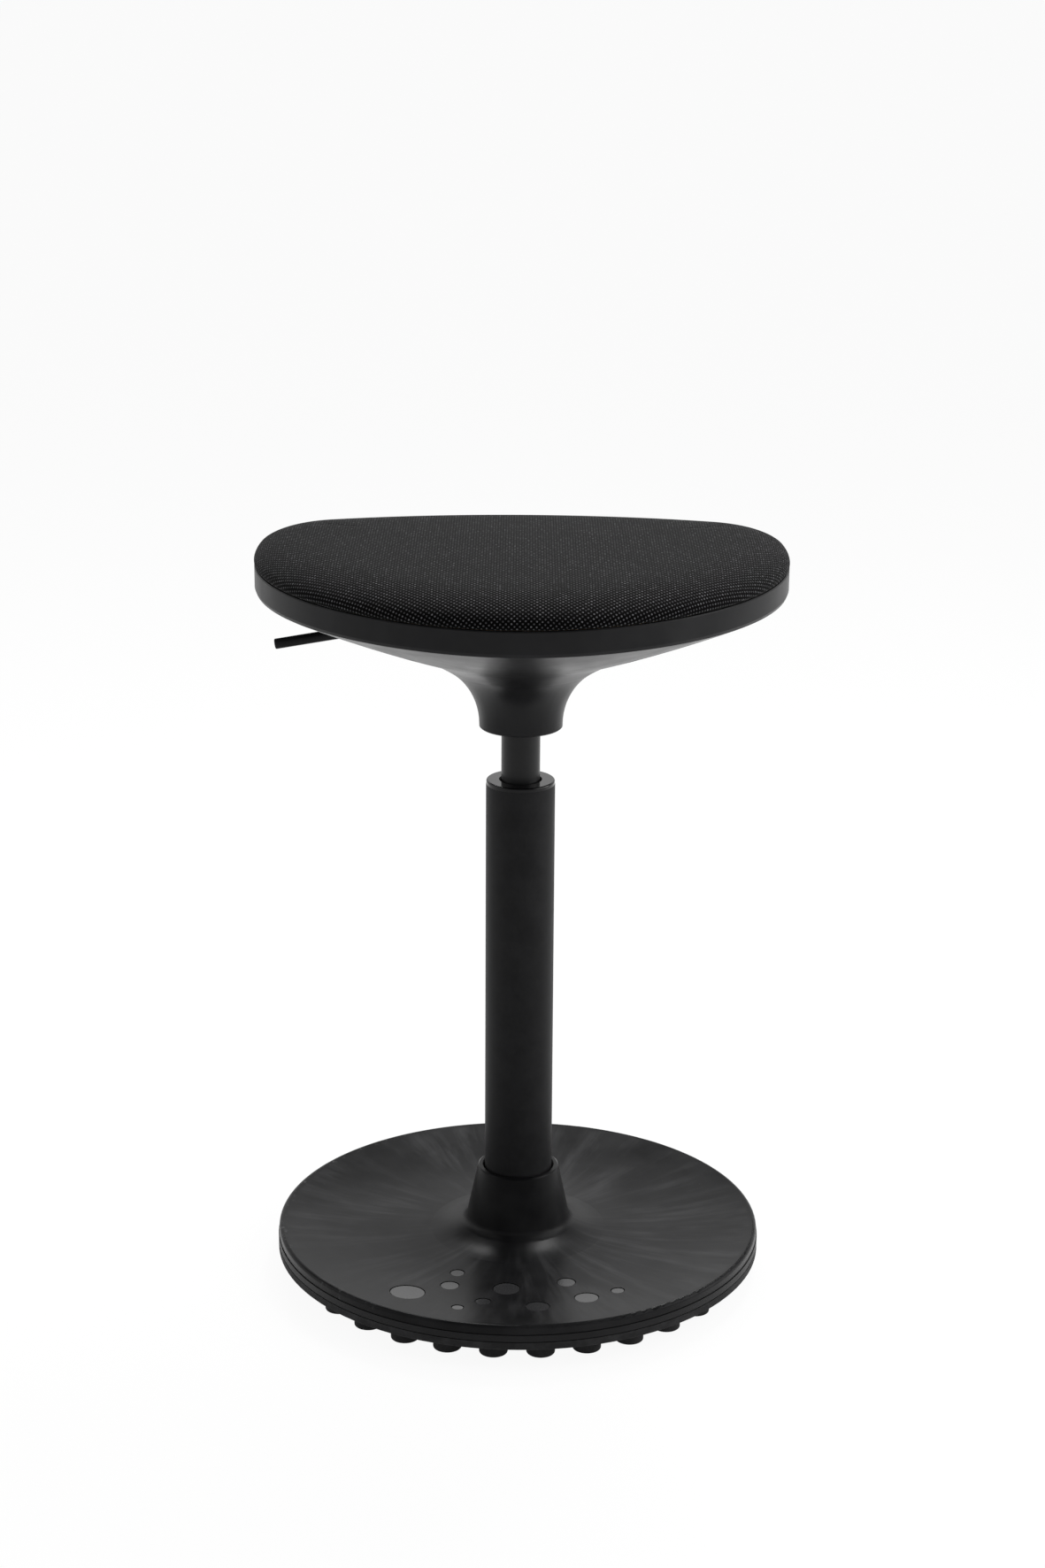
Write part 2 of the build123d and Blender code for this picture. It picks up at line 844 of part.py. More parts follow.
def across(radius, width, x, z):
    """Cylinder along Y, centred on the seat's middle line."""
    return Pos(x, 0, z) * Rot(90, 0, 0) * Cylinder(radius, width)


def make_lever_bracket():
    """Steel fork on the mechanism plate that holds the lever's pin."""
    inner = lever_barrel_width / 2 + bracket_side_gap
    outer = inner + bracket_wall
    half = bracket_length / 2
    low = Pos(pivot_x, 0, mech_top)
    fork = low * Box(bracket_length, 2 * outer, pivot_rise, align=(Align.CENTER, Align.CENTER, Align.MIN))
    fork += across(half, 2 * outer, pivot_x, pivot_z)
    gap = Box(
        bracket_length + 2 * overrun,
        2 * inner,
        pivot_rise + half + overrun,
        align=(Align.CENTER, Align.CENTER, Align.MIN),
    )
    fork -= Pos(pivot_x, 0, mech_top + bracket_wall) * gap
    return fork - across(pin_radius, 2 * outer + 2 * overrun, pivot_x, pivot_z)


def make_lever_pin():
    """Headed pin through the bracket and the lever's barrel."""
    outer = lever_barrel_width / 2 + bracket_side_gap + bracket_wall
    pin = across(pin_radius, 2 * (outer + pin_head_height), pivot_x, pivot_z)
    for side in (-1, 1):
        middle = side * (outer + pin_head_height / 2)
        pin += Pos(0, middle, 0) * across(pin_head_radius, pin_head_height, pivot_x, pivot_z)
    return pin


def make_release_lever():
    """Round rod with a pivot barrel and a nose that presses the valve button."""
    length = (lever_reach + pivot_x) / cos(radians(lever_dip))
    rod = Cylinder(lever_radius, length, align=(Align.CENTER, Align.CENTER, Align.MIN))
    rod = chamfer(rod.edges().group_by(Axis.Z)[-1], lever_end_chamfer)
    lever = Pos(pivot_x, 0, pivot_z) * Rot(0, -90 - lever_dip, 0) * rod
    lever += across(lever_barrel_radius, lever_barrel_width, pivot_x, pivot_z)
    nose_z = button_top + lever_nose_gap + lever_nose_radius
    lever += across(lever_nose_radius, lever_nose_width, 0, nose_z)
    web = Box(-pivot_x, lever_nose_width, lever_web_height, align=(Align.MAX, Align.CENTER, Align.CENTER))
    lever += Pos(0, 0, nose_z) * web
    return lever - across(pin_radius + slide_gap, lever_barrel_width + 2 * overrun, pivot_x, pivot_z)


def seat_arcs():
    """Centre, radius, first angle and last angle of each arc of the seat's outline."""

    def way(angle):
        return Vector(cos(radians(angle)), sin(radians(angle)))

    apex_end = front_angle + apex_half_angle
    apex = Vector(0, apex_radius - apex_reach)
    side = apex + way(apex_end) * (apex_radius - side_radius)
    corner = side + way(side_end_angle) * (side_radius - corner_radius)
    back_radius = corner_radius + corner.X / cos(radians(corner_end_angle))
    back = corner + way(corner_end_angle) * (corner_radius - back_radius)
    right = [
        (side, side_radius, apex_end, side_end_angle),
        (corner, corner_radius, side_end_angle, corner_end_angle),
    ]
    left = [
        (Vector(-centre.X, centre.Y), radius, half_turn - last, half_turn - first)
        for centre, radius, first, last in reversed(right)
    ]
    front = (apex, apex_radius, front_angle - apex_half_angle, apex_end)
    rear = (back, back_radius, corner_end_angle, half_turn - corner_end_angle)
    return [front, *right, rear, *left]


def seat_section(height, inset, blend_share=1.0, core=0.0):
    """Level face of the seat's outline, drawn in by the inset and blended with a round core."""
    edges = []
    for centre, radius, first, last in seat_arcs():
        middle = centre * blend_share
        size = radius * blend_share + core * (1 - blend_share) - inset
        edges.append(CenterArc((middle.X, middle.Y, height), size, first, last - first))
    return make_face(edges)


def flare_ends():
    """Radius and height of the shell's outer surface where the flare's two arcs end."""
    start = hub_bottom + hub_straight
    turn = radians(flare_angle)
    first = (hub_radius + flare_radius * (1 - cos(turn)), start + flare_radius * sin(turn))
    steep, shallow = radians(90 - flare_angle), radians(bowl_start_slope)
    second = (
        first[0] + shoulder_radius * (sin(steep) - sin(shallow)),
        first[1] + shoulder_radius * (cos(shallow) - cos(steep)),
    )
    return first, second


def bowl_height(share):
    """Height of the bowl's outer surface at a share of its way from flare to rim."""
    _, (_, start) = flare_ends()
    rise = rim_top - band_height - band_edge_drop - start
    return start + rise * ((1 - bowl_belly_share) * share + bowl_belly_share * share ** 2)


def flare_solid(wall, low):
    """Solid hub and flare, drawn in by the wall, from a low level up into the bowl."""
    (first_r, first_z), (second_r, second_z) = flare_ends()
    start = hub_bottom + hub_straight
    steep, shallow = radians(90 - flare_angle), radians(bowl_start_slope)
    hub = hub_radius - wall
    first = at(first_r - wall * sin(steep), first_z + wall * cos(steep))
    second = at(second_r - wall * sin(shallow), second_z + wall * cos(shallow))
    edge = at(second_r, second_z + wall / cos(shallow))
    top = edge.Z + bowl_lap
    edges = chain(at(0, low), at(hub - hub_bevel, low), at(hub, low + hub_bevel), at(hub, start))
    edges += [TangentArc(at(hub, start), first, tangent=Vector(0, 0, 1))]
    edges += [TangentArc(first, second, tangent=Vector(cos(steep), 0, sin(steep)))]
    edges += chain(second, edge, at(second_r, top), at(0, top), at(0, low))
    return turned(edges)


def bowl_solid(lift, top):
    """Solid bowl from the flare's end to the rim, raised by the lift, with the band up to the top."""
    _, (core, _) = flare_ends()
    sections = [
        seat_section(bowl_height(share) + lift, band_edge_inset * share, share, core)
        for share in bowl_section_shares
    ]
    bowl = loft(sections)
    edge = bowl_height(1) + lift
    return bowl + Pos(0, 0, edge) * extrude(seat_section(0, band_edge_inset), top - edge)


def make_seat_shell():
    """Moulded shell: hub, flare, bowl and rim band in one piece, with bosses and a lever slot."""
    band_low = rim_top - band_height
    bowl = bowl_solid(0, band_low)
    edge = loft(
        [
            seat_section(bowl_height(1), band_edge_inset),
            seat_section(band_low - band_edge_drop + band_mid_drop / 2, band_mid_inset),
            seat_section(band_low, 0),
        ],
        ruled=True,
    )
    band = Pos(0, 0, band_low) * extrude(seat_section(0, 0), band_height - rim_chamfer)
    lip = loft([seat_section(rim_top - rim_chamfer, 0), seat_section(rim_top, rim_chamfer)], ruled=True)
    outer = flare_solid(0, hub_bottom) + bowl + edge + band + lip
    lift = shell_wall / cos(radians(bowl_start_slope))
    cavity = bowl_solid(lift, rim_top + overrun) + flare_solid(shell_wall, hub_bottom - overrun)
    shell = outer - cavity
    bosses = []
    for x, y in mech_screw_places():
        bosses.append(Pos(x, y, 0) * tube_solid(0, mech_boss_radius, hub_bottom, mech_bottom))
    for x, y in board_screw_places():
        bosses.append(Pos(x, y, 0) * tube_solid(0, board_boss_radius, hub_bottom, board_bottom))
    for boss in bosses:
        shell += boss & outer
    for x, y in mech_screw_places():
        shell -= Pos(x, y, 0) * tube_solid(
            0, mech_screw_radius + assembly_gap, mech_top - mech_screw_depth - assembly_gap, mech_top
        )
    seat_level = rim_top - board_screw_seat
    for x, y in board_screw_places():
        shell -= Pos(x, y, 0) * tube_solid(0, board_screw_radius + assembly_gap, hub_bottom, rim_top)
        shell -= Pos(x, y, 0) * tube_solid(
            0, board_screw_head_radius + 2 * assembly_gap, hub_bottom, seat_level
        )
    slot = SlotOverall(slot_end - slot_start, slot_width)
    slot = extrude(slot, band_low - hub_bottom)
    return shell - Pos(-(slot_start + slot_end) / 2, 0, hub_bottom) * slot


def board_screw_places():
    """Centres of the screws that hold the seat board."""
    pairs = (board_screw_back, board_screw_front)
    return [(side * x, y) for x, y in pairs for side in (-1, 1)]


def make_seat_board():
    """Plywood board in the rim, with stepped holes for the tee nuts."""
    board = Pos(0, 0, board_bottom) * extrude(seat_section(0, shell_wall + board_gap), board_thickness)
    recess = tee_nut_flange_height + assembly_gap
    for x, y in board_screw_places():
        board -= Pos(x, y, 0) * tube_solid(
            0, tee_nut_radius + assembly_gap, board_bottom - overrun, rim_top + overrun
        )
        board -= Pos(x, y, 0) * tube_solid(
            0, tee_nut_flange_radius + assembly_gap, rim_top - recess, rim_top + overrun
        )
    return board


def make_tee_nuts():
    """Tee nuts in the board, flange upwards."""
    bore = board_screw_radius + assembly_gap
    flange_low = rim_top - tee_nut_flange_height
    nut = tube_solid(bore, tee_nut_flange_radius, flange_low, rim_top)
    nut += tube_solid(bore, tee_nut_radius, board_bottom, flange_low)
    return [Pos(x, y, 0) * nut for x, y in board_screw_places()]


def make_board_screws():
    """Screws from below through the shell's bosses into the tee nuts."""
    seat_level = rim_top - board_screw_seat
    head = tube_solid(
        0, board_screw_head_radius, seat_level - board_screw_head_height, seat_level
    )
    screw = head + tube_solid(0, board_screw_radius, seat_level, rim_top - tee_nut_flange_height)
    return [Pos(x, y, 0) * screw for x, y in board_screw_places()]


def make_seat_cushion():
    """Crowned pad with a tucked lower edge and a full-round upper edge."""
    low = rim_top + soft_gap
    sections = [seat_section(low, cushion_tuck)]
    for angle in cushion_edge_angles:
        turn = radians(angle)
        inset = cushion_edge_depth * (1 - cos(turn)) - cushion_overhang
        height = cushion_tuck_height + (cushion_edge_height - cushion_tuck_height) * sin(turn)
        sections.append(seat_section(low + height, inset))
    top = low + cushion_edge_height + cushion_crown
    sections.append(seat_section(top, 0, cushion_top_share))
    return loft(sections, ruled=True)


def make_parts():
    """All nodes of the stool by name."""
    side = tube_radius - tube_wall
    foot_bore = rod_foot_radius + foot_plate_bore_gap
    washer_bore = rod_foot_radius + slide_gap
    guide_outer = cylinder_bore_radius - plug_gap
    seal_top = rod_guide_top + seal_length
    button_low = cylinder_top - valve_stem_length
    return {
        "base_cover": make_base_cover(),
        "base_inlays": joined(inlay_layer(inlay_sink, inlay_sink + inlay_thickness, inlay_gap)),
        "base_disc": make_base_disc(),
        "sole_pan": make_sole_pan(),
        "base_screws": joined([Pos(x, y, 0) * make_base_screw() for x, y in base_screw_places()]),
        "rubber_sole": make_rubber_sole(),
        "column_socket": make_column_socket(),
        "column_grub_screws": joined(make_grub_screws()),
        "column_tube": tube_solid(side, tube_radius, tube_bottom, tube_top),
        "tube_foot_plate": tube_solid(foot_bore, side, foot_plate_bottom, foot_plate_top),
        "guide_bush": make_guide_bush(),
        "lower_bearing_washer": tube_solid(foot_bore, washer_radius, foot_plate_top, low_washer_top),
        "bearing_balls": joined(make_balls()),
        "bearing_cage": make_ball_cage(),
        "upper_bearing_washer": tube_solid(washer_bore, washer_radius, high_washer_bottom, high_washer_top),
        "piston_rod": make_piston_rod(),
        "rod_clip": make_rod_clip(),
        "rubber_buffer": tube_solid(rod_radius + slide_gap, buffer_radius, high_washer_top, buffer_top),
        "piston": make_piston(),
        "piston_ring": make_piston_ring(),
        "gas_cylinder": make_gas_cylinder(),
        "rod_guide": tube_solid(rod_radius + slide_gap, guide_outer, rod_guide_bottom, rod_guide_top),
        "rod_seal": tube_solid(rod_radius + slide_gap, guide_outer, rod_guide_top, seal_top),
        "valve_body": make_valve_body(),
        "valve_button": tube_solid(0, valve_button_radius, button_low, button_top),
        "taper_socket": make_taper_socket(),
        "mechanism_plate": make_mech_plate(),
        "mechanism_screws": joined(make_mech_screws()),
        "lever_bracket": make_lever_bracket(),
        "lever_pin": make_lever_pin(),
        "release_lever": make_release_lever(),
        "seat_shell": make_seat_shell(),
        "seat_board": make_seat_board(),
        "tee_nuts": joined(make_tee_nuts()),
        "board_screws": joined(make_board_screws()),
        "seat_cushion": make_seat_cushion(),
    }


os.makedirs("parts", exist_ok=True)
for name, shape in make_parts().items():
    export_step(shape, f"parts/{name}.step")
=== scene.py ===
"""Looks for the sit-stand rocking stool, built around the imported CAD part.

Lengths are metres unless a name ends in _mm. Z is up, the floor is at zero and the column's axis
is the Z axis. The rigid pieces are the CAD nodes in procedural materials. The cushion is a sheet
of woven cloth drawn over foam, shaped by a cloth simulation.
"""
from __future__ import annotations

import json
import logging
import math
from dataclasses import dataclass, field
from enum import Enum

import bpy
import numpy as np
from mathutils import Matrix, Vector

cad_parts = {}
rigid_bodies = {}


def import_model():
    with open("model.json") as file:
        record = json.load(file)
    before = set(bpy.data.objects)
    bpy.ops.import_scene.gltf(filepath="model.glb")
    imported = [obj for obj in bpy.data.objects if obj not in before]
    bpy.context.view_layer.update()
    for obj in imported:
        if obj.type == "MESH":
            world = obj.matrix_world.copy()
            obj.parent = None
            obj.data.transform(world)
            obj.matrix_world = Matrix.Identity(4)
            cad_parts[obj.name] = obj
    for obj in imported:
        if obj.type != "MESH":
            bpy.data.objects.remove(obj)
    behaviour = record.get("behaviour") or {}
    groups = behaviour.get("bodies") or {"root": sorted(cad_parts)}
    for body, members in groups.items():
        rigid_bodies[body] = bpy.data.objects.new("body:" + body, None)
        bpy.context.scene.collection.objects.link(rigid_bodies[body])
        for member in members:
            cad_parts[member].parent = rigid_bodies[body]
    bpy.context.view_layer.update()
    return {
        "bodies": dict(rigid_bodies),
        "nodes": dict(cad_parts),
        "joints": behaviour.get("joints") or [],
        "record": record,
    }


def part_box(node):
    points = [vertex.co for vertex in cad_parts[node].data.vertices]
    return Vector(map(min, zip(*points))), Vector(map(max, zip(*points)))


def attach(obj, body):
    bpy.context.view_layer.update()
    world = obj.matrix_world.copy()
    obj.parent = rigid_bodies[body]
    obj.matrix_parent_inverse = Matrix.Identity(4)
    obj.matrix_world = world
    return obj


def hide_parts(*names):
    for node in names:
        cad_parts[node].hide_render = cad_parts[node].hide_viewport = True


LOG = logging.getLogger("stool")
MM = 0.001
WHITE = (1.0, 1.0, 1.0, 1.0)
# Inputs of a Map Range node: the ends of the range that comes in and of the one that goes out
IN_LOW, IN_HIGH, OUT_LOW, OUT_HIGH = 1, 2, 3, 4
# Most values of a noise texture lie between these two
NOISE_LOW, NOISE_HIGH = 0.3, 0.7

Tree = bpy.types.NodeTree
Node = bpy.types.Node
Stops = tuple[tuple[float, str], ...]


class Body(Enum):
    """The CAD bodies that new pieces ride on."""

    SEAT = "seat"


def linear(code: str) -> tuple[float, float, float, float]:
    """Turns an sRGB hex colour into the linear colour that shaders take.

    The sRGB curve is a straight line near black and a power above it.

    Args:
        code: colour as "#rrggbb".

    Returns:
        Linear red, green and blue, and an alpha of one.
    """
    parts = [int(code[i : i + 2], 16) / 255 for i in (1, 3, 5)]
    turned = [c / 12.92 if c <= 0.04045 else ((c + 0.055) / 1.055) ** 2.4 for c in parts]
    return (turned[0], turned[1], turned[2], 1.0)


def add(
    tree: Tree,
    kind: str,
    inputs: dict[int | str, object] | None = None,
    stops: Stops = (),
    **settings: object,
) -> Node:
    """Adds one shader node with its settings, values, links and colour stops.

    Args:
        tree: node tree that gets the node.
        kind: Blender's name for the node type, without "ShaderNode".
        inputs: value, source socket or source node for each input, by name or number. A node
            stands for its first output.
        stops: place and hex colour of each stop, for a colour ramp.
        settings: properties of the node itself.

    Returns:
        The new node.
    """
    node = tree.nodes.new("ShaderNode" + kind)
    for name, value in settings.items():
        setattr(node, name, value)
    for key, value in (inputs or {}).items():
        source = value.outputs[0] if isinstance(value, bpy.types.Node) else value
        if isinstance(source, bpy.types.NodeSocket):
            tree.links.new(source, node.inputs[key])
        else:
            node.inputs[key].default_value = source
    if stops:
        elements = node.color_ramp.elements
        while len(elements) < len(stops):
            elements.new(0.5)
        for element, (place, code) in zip(elements, stops):
            element.position = place
            element.color = linear(code)
    return node


def per_metre(size_mm: float) -> float:
    """How often a size in millimetres goes into a metre, which is a texture's scale."""
    return 1 / (size_mm * MM)


def plug(tree: Tree, shader: Node, sources: dict[str, Node]) -> None:
    """Links the first output of each node to the shader's input of that name."""
    for name, source in sources.items():
        tree.links.new(source.outputs[0], shader.inputs[name])


def rays(tree: Tree) -> tuple[Node, bpy.types.NodeSocket]:
    """Tells apart the rays that meet the floor or the surround.

    Args:
        tree: node tree that gets the nodes.

    Returns:
        One for a ray that the camera sees, directly or through a clear piece, and one for a
        mirrored ray.
    """
    path = add(tree, "LightPath").outputs
    direct, clear = path["Is Camera Ray"], path["Is Transmission Ray"]
    seen = add(tree, "Math", {0: direct, 1: clear}, operation="MAXIMUM")
    return seen, path["Is Glossy Ray"]


@dataclass(frozen=True)
class Finish:
    """A surface finish, and the base of all others.

    The colour and the pale colour are the two ends of its tone. The facing share dims the
    reflection where the surface is seen square on and leaves it whole at grazing angles.
    """

    name: str
    colour: str
    pale: str
    roughness: float
    specular: float = 0.5
    facing: float = 1.0

    def material(self) -> bpy.types.Material:
        """Builds the finish as a material, once.

        Returns:
            The material.
        """
        found = bpy.data.materials.get(self.name)
        if found:
            return found
        material = bpy.data.materials.new(self.name)
        material.use_nodes = True
        tree = material.node_tree
        tree.nodes.clear()
        shader = add(tree, "BsdfPrincipled", {"Roughness": self.roughness})
        shader.inputs["Specular IOR Level"].default_value = self.specular
        shader.inputs["Specular Tint"].default_value = (self.facing, self.facing, self.facing, 1.0)
        add(tree, "OutputMaterial", {"Surface": shader})
        self.dress(tree, shader, add(tree, "TexCoord").outputs["Object"])
        return material

    def dress(self, tree: Tree, shader: Node, place: bpy.types.NodeSocket) -> None:
        """Adds the finish's own pattern nodes.

        Args:
            tree: the material's tree.
            shader: its shader.
            place: a point's place in metres.
        """
        raise NotImplementedError


@dataclass(frozen=True)
class MouldedPlastic(Finish):
    """Injection-moulded plastic: a fine spark-eroded grain and slow changes of tone."""

    grain_mm: float = 0.45
    grain_depth_mm: float = 0.012
    cloud_mm: float = 38.0
    cloud_starts: float = 0.35
    cloud_tone: float = 0.35
    rough_swing: float = 0.05
    wear_dulls: float = 0.08

    def dress(self, tree: Tree, shader: Node, place: bpy.types.NodeSocket) -> None:
        """Grain as bump, and slow clouds with the marks of use in colour and roughness.

        Args:
            tree: the material's tree.
            shader: its shader.
            place: a point's place in metres.
        """
        scale = per_metre(self.grain_mm)
        grain = add(tree, "TexNoise", {"Vector": place, "Scale": scale, "Detail": 1.0})
        scale = per_metre(self.cloud_mm)
        clouds = {"Vector": place, "Scale": scale, "Detail": 3.0, "Roughness": 0.6}
        cloud = add(tree, "TexNoise", clouds)
        wear = self.wear(tree, place)
        tones = {0: cloud, IN_LOW: self.cloud_starts, IN_HIGH: NOISE_HIGH, OUT_HIGH: self.cloud_tone}
        tone = add(tree, "MapRange", tones)
        low, high = self.roughness - self.rough_swing, self.roughness + self.rough_swing
        swings = {0: cloud, IN_LOW: NOISE_LOW, IN_HIGH: NOISE_HIGH, OUT_LOW: low, OUT_HIGH: high}
        swing = add(tree, "MapRange", swings)
        if wear:
            tone = add(tree, "Math", {0: tone, 1: wear}, operation="ADD")
            dulled = {0: wear, 1: self.wear_dulls, 2: swing}
            swing = add(tree, "Math", dulled, operation="MULTIPLY_ADD")
        tint = add(tree, "ValToRGB", {0: tone}, ((0.0, self.colour), (1.0, self.pale)))
        relief = add(tree, "Bump", {"Height": grain, "Distance": self.grain_depth_mm * MM})
        plug(tree, shader, {"Base Color": tint, "Roughness": swing, "Normal": relief})

    def wear(self, tree: Tree, place: bpy.types.NodeSocket) -> Node | None:
        """Marks of use, from zero to one, or none for a clean piece."""
        return None


@dataclass(frozen=True)
class Mark:
    """A mark of use: where in its texture it starts and is full, its strength and its patches."""

    start: float
    full: float
    strength: float
    patch_starts: float
    patch_full: float


@dataclass(frozen=True)
class WipedCover(MouldedPlastic):
    """Moulded cover of the base: wiping marks that run out from the collar, dust and lip rubs.

    The lip is rubbed on the side where a point's sideways share of its direction from the axis
    passes the two values of dragged.
    """

    streak_turns: float = 13.0
    patch_mm: float = 55.0
    scratch_mm: float = 4.0
    dust_mm: float = 8.0
    collar_mm: float = 40.0
    collar_fade_mm: float = 30.0
    lip_starts_mm: float = 172.5
    lip_full_mm: float = 175.5
    dragged: tuple[float, float] = (-0.45, -0.75)
    streaks: Mark = Mark(0.46, 0.72, 0.42, 0.35, 0.6)
    scratches: Mark = Mark(0.56, 0.66, 1.2, 0.3, 0.5)
    dust: Mark = Mark(0.045, 0.02, 0.9, 0.38, 0.42)
    grain_depth_mm: float = 0.003
    cloud_mm: float = 60.0
    cloud_tone: float = 0.2
    rough_swing: float = 0.02

    def wear(self, tree: Tree, place: bpy.types.NodeSocket) -> Node:
        """Streaks, dust and rubs, the strongest of them at each point.

        The direction of a point from the axis, as a unit vector, drives a noise that hardly
        changes along the radius, so its marks run outwards.

        Args:
            tree: the material's tree.
            place: a point's place in metres.

        Returns:
            The node whose value is the wear.
        """
        flat = add(tree, "VectorMath", {0: place, 1: (1.0, 1.0, 0.0)}, operation="MULTIPLY")
        radius = add(tree, "VectorMath", {0: flat}, operation="LENGTH").outputs["Value"]
        way = add(tree, "VectorMath", {0: flat}, operation="NORMALIZE")
        far = add(tree, "CombineXYZ", {2: radius})
        along = add(tree, "VectorMath", {0: way, 1: far}, operation="ADD")
        streaks = {"Vector": along, "Scale": self.streak_turns, "Detail": 5.0, "Roughness": 0.62}
        streak = add(tree, "TexNoise", streaks)
        scale = per_metre(self.patch_mm)
        patch = add(tree, "TexNoise", {"Vector": place, "Scale": scale, "Detail": 2.0})
        scale = per_metre(self.scratch_mm)
        scratches = {"Vector": place, "Scale": scale, "Detail": 5.0, "Roughness": 0.7}
        scratch = add(tree, "TexNoise", scratches)
        speck = add(tree, "TexVoronoi", {"Vector": place, "Scale": per_metre(self.dust_mm)})
        side = add(tree, "SeparateXYZ", {0: way})
        low, high = self.collar_mm * MM, (self.collar_mm + self.collar_fade_mm) * MM
        out = add(tree, "MapRange", {0: radius, IN_LOW: low, IN_HIGH: high})
        low, high = self.lip_starts_mm * MM, self.lip_full_mm * MM
        at_lip = add(tree, "MapRange", {0: radius, IN_LOW: low, IN_HIGH: high})
        in_dish = add(tree, "Math", {0: out, 1: at_lip}, operation="SUBTRACT", use_clamp=True)
        low, high = self.dragged
        dragged = add(tree, "MapRange", {0: side, IN_LOW: low, IN_HIGH: high})
        rubbed = add(tree, "Math", {0: at_lip, 1: dragged}, operation="MULTIPLY")
        marks = (
            (self.streaks, streak, in_dish),
            (self.scratches, scratch, rubbed),
            (self.dust, speck, in_dish),
        )
        total = None
        for mark, texture, where in marks:
            shown = {0: texture, IN_LOW: mark.start, IN_HIGH: mark.full, OUT_HIGH: mark.strength}
            patches = {0: patch, IN_LOW: mark.patch_starts, IN_HIGH: mark.patch_full}
            share = add(tree, "MapRange", shown)
            for limit in (where, add(tree, "MapRange", patches)):
                share = add(tree, "Math", {0: share, 1: limit}, operation="MULTIPLY")
            total = add(tree, "Math", {0: total, 1: share}, operation="MAXIMUM") if total else share
        return total


@dataclass(frozen=True)
class Coat(Finish):
    """Paint or powder coat on metal: orange peel and a fine unevenness of tone."""

    peel_mm: float = 1.1
    peel_depth_mm: float = 0.015
    cloud_mm: float = 24.0
    smoother: float = 0.04
    rougher: float = 0.05
    tone_starts: float = 0.4
    tone_full: float = 0.8

    def dress(self, tree: Tree, shader: Node, place: bpy.types.NodeSocket) -> None:
        """Orange peel as bump, fine clouds in colour and roughness.

        Args:
            tree: the material's tree.
            shader: its shader.
            place: a point's place in metres.
        """
        peel = add(tree, "TexNoise", {"Vector": place, "Scale": per_metre(self.peel_mm)})
        scale = per_metre(self.cloud_mm)
        clouds = {"Vector": place, "Scale": scale, "Detail": 6.0, "Roughness": 0.7}
        cloud = add(tree, "TexNoise", clouds)
        low, high = self.roughness - self.smoother, self.roughness + self.rougher
        swings = {0: cloud, IN_LOW: NOISE_LOW, IN_HIGH: NOISE_HIGH, OUT_LOW: low, OUT_HIGH: high}
        swing = add(tree, "MapRange", swings)
        stops = ((self.tone_starts, self.colour), (self.tone_full, self.pale))
        tint = add(tree, "ValToRGB", {0: cloud}, stops)
        relief = add(tree, "Bump", {"Height": peel, "Distance": self.peel_depth_mm * MM})
        plug(tree, shader, {"Base Color": tint, "Roughness": swing, "Normal": relief})


@dataclass(frozen=True)
class Rubber(Finish):
    """Moulded rubber: dull, with a bloom of pale dust in patches."""

    grain_mm: float = 0.8
    grain_depth_mm: float = 0.02
    dust_mm: float = 14.0
    dust_starts: float = 0.42
    dust_full: float = 0.85

    def dress(self, tree: Tree, shader: Node, place: bpy.types.NodeSocket) -> None:
        """Dusty clouds in colour and a fine grain as bump.

        Args:
            tree: the material's tree.
            shader: its shader.
            place: a point's place in metres.
        """
        grain = add(tree, "TexNoise", {"Vector": place, "Scale": per_metre(self.grain_mm)})
        scale = per_metre(self.dust_mm)
        clouds = {"Vector": place, "Scale": scale, "Detail": 5.0, "Roughness": 0.65}
        cloud = add(tree, "TexNoise", clouds)
        stops = ((self.dust_starts, self.colour), (self.dust_full, self.pale))
        tint = add(tree, "ValToRGB", {0: cloud}, stops)
        relief = add(tree, "Bump", {"Height": grain, "Distance": self.grain_depth_mm * MM})
        plug(tree, shader, {"Base Color": tint, "Normal": relief})


@dataclass(frozen=True)
class BareMetal(Finish):
    """Plain or plated metal: fine drawing lines along the height and slight tarnish."""

    line_mm: float = 0.5
    run_mm: float = 12.0
    line_depth_mm: float = 0.004
    smoothest: float = 0.8
    roughest: float = 1.25
    tarnish_mm: float = 9.0
    tarnish_starts: float = 0.35
    tarnish_full: float = 0.7

    def dress(self, tree: Tree, shader: Node, place: bpy.types.NodeSocket) -> None:
        """Drawn lines in roughness and bump, clouds in colour.

        Args:
            tree: the material's tree.
            shader: its shader.
            place: a point's place in metres.
        """
        shader.inputs["Metallic"].default_value = 1.0
        squeeze = (1.0, 1.0, self.line_mm / self.run_mm)
        drawn = add(tree, "Mapping", {"Vector": place, "Scale": squeeze})
        lines = add(tree, "TexNoise", {"Vector": drawn, "Scale": per_metre(self.line_mm)})
        scale = per_metre(self.tarnish_mm)
        cloud = add(tree, "TexNoise", {"Vector": place, "Scale": scale, "Detail": 3.0})
        low, high = self.roughness * self.smoothest, self.roughness * self.roughest
        swings = {0: lines, IN_LOW: NOISE_LOW, IN_HIGH: NOISE_HIGH, OUT_LOW: low, OUT_HIGH: high}
        swing = add(tree, "MapRange", swings)
        stops = ((self.tarnish_starts, self.colour), (self.tarnish_full, self.pale))
        tint = add(tree, "ValToRGB", {0: cloud}, stops)
        relief = add(tree, "Bump", {"Height": lines, "Distance": self.line_depth_mm * MM})
        plug(tree, shader, {"Base Color": tint, "Roughness": swing, "Normal": relief})


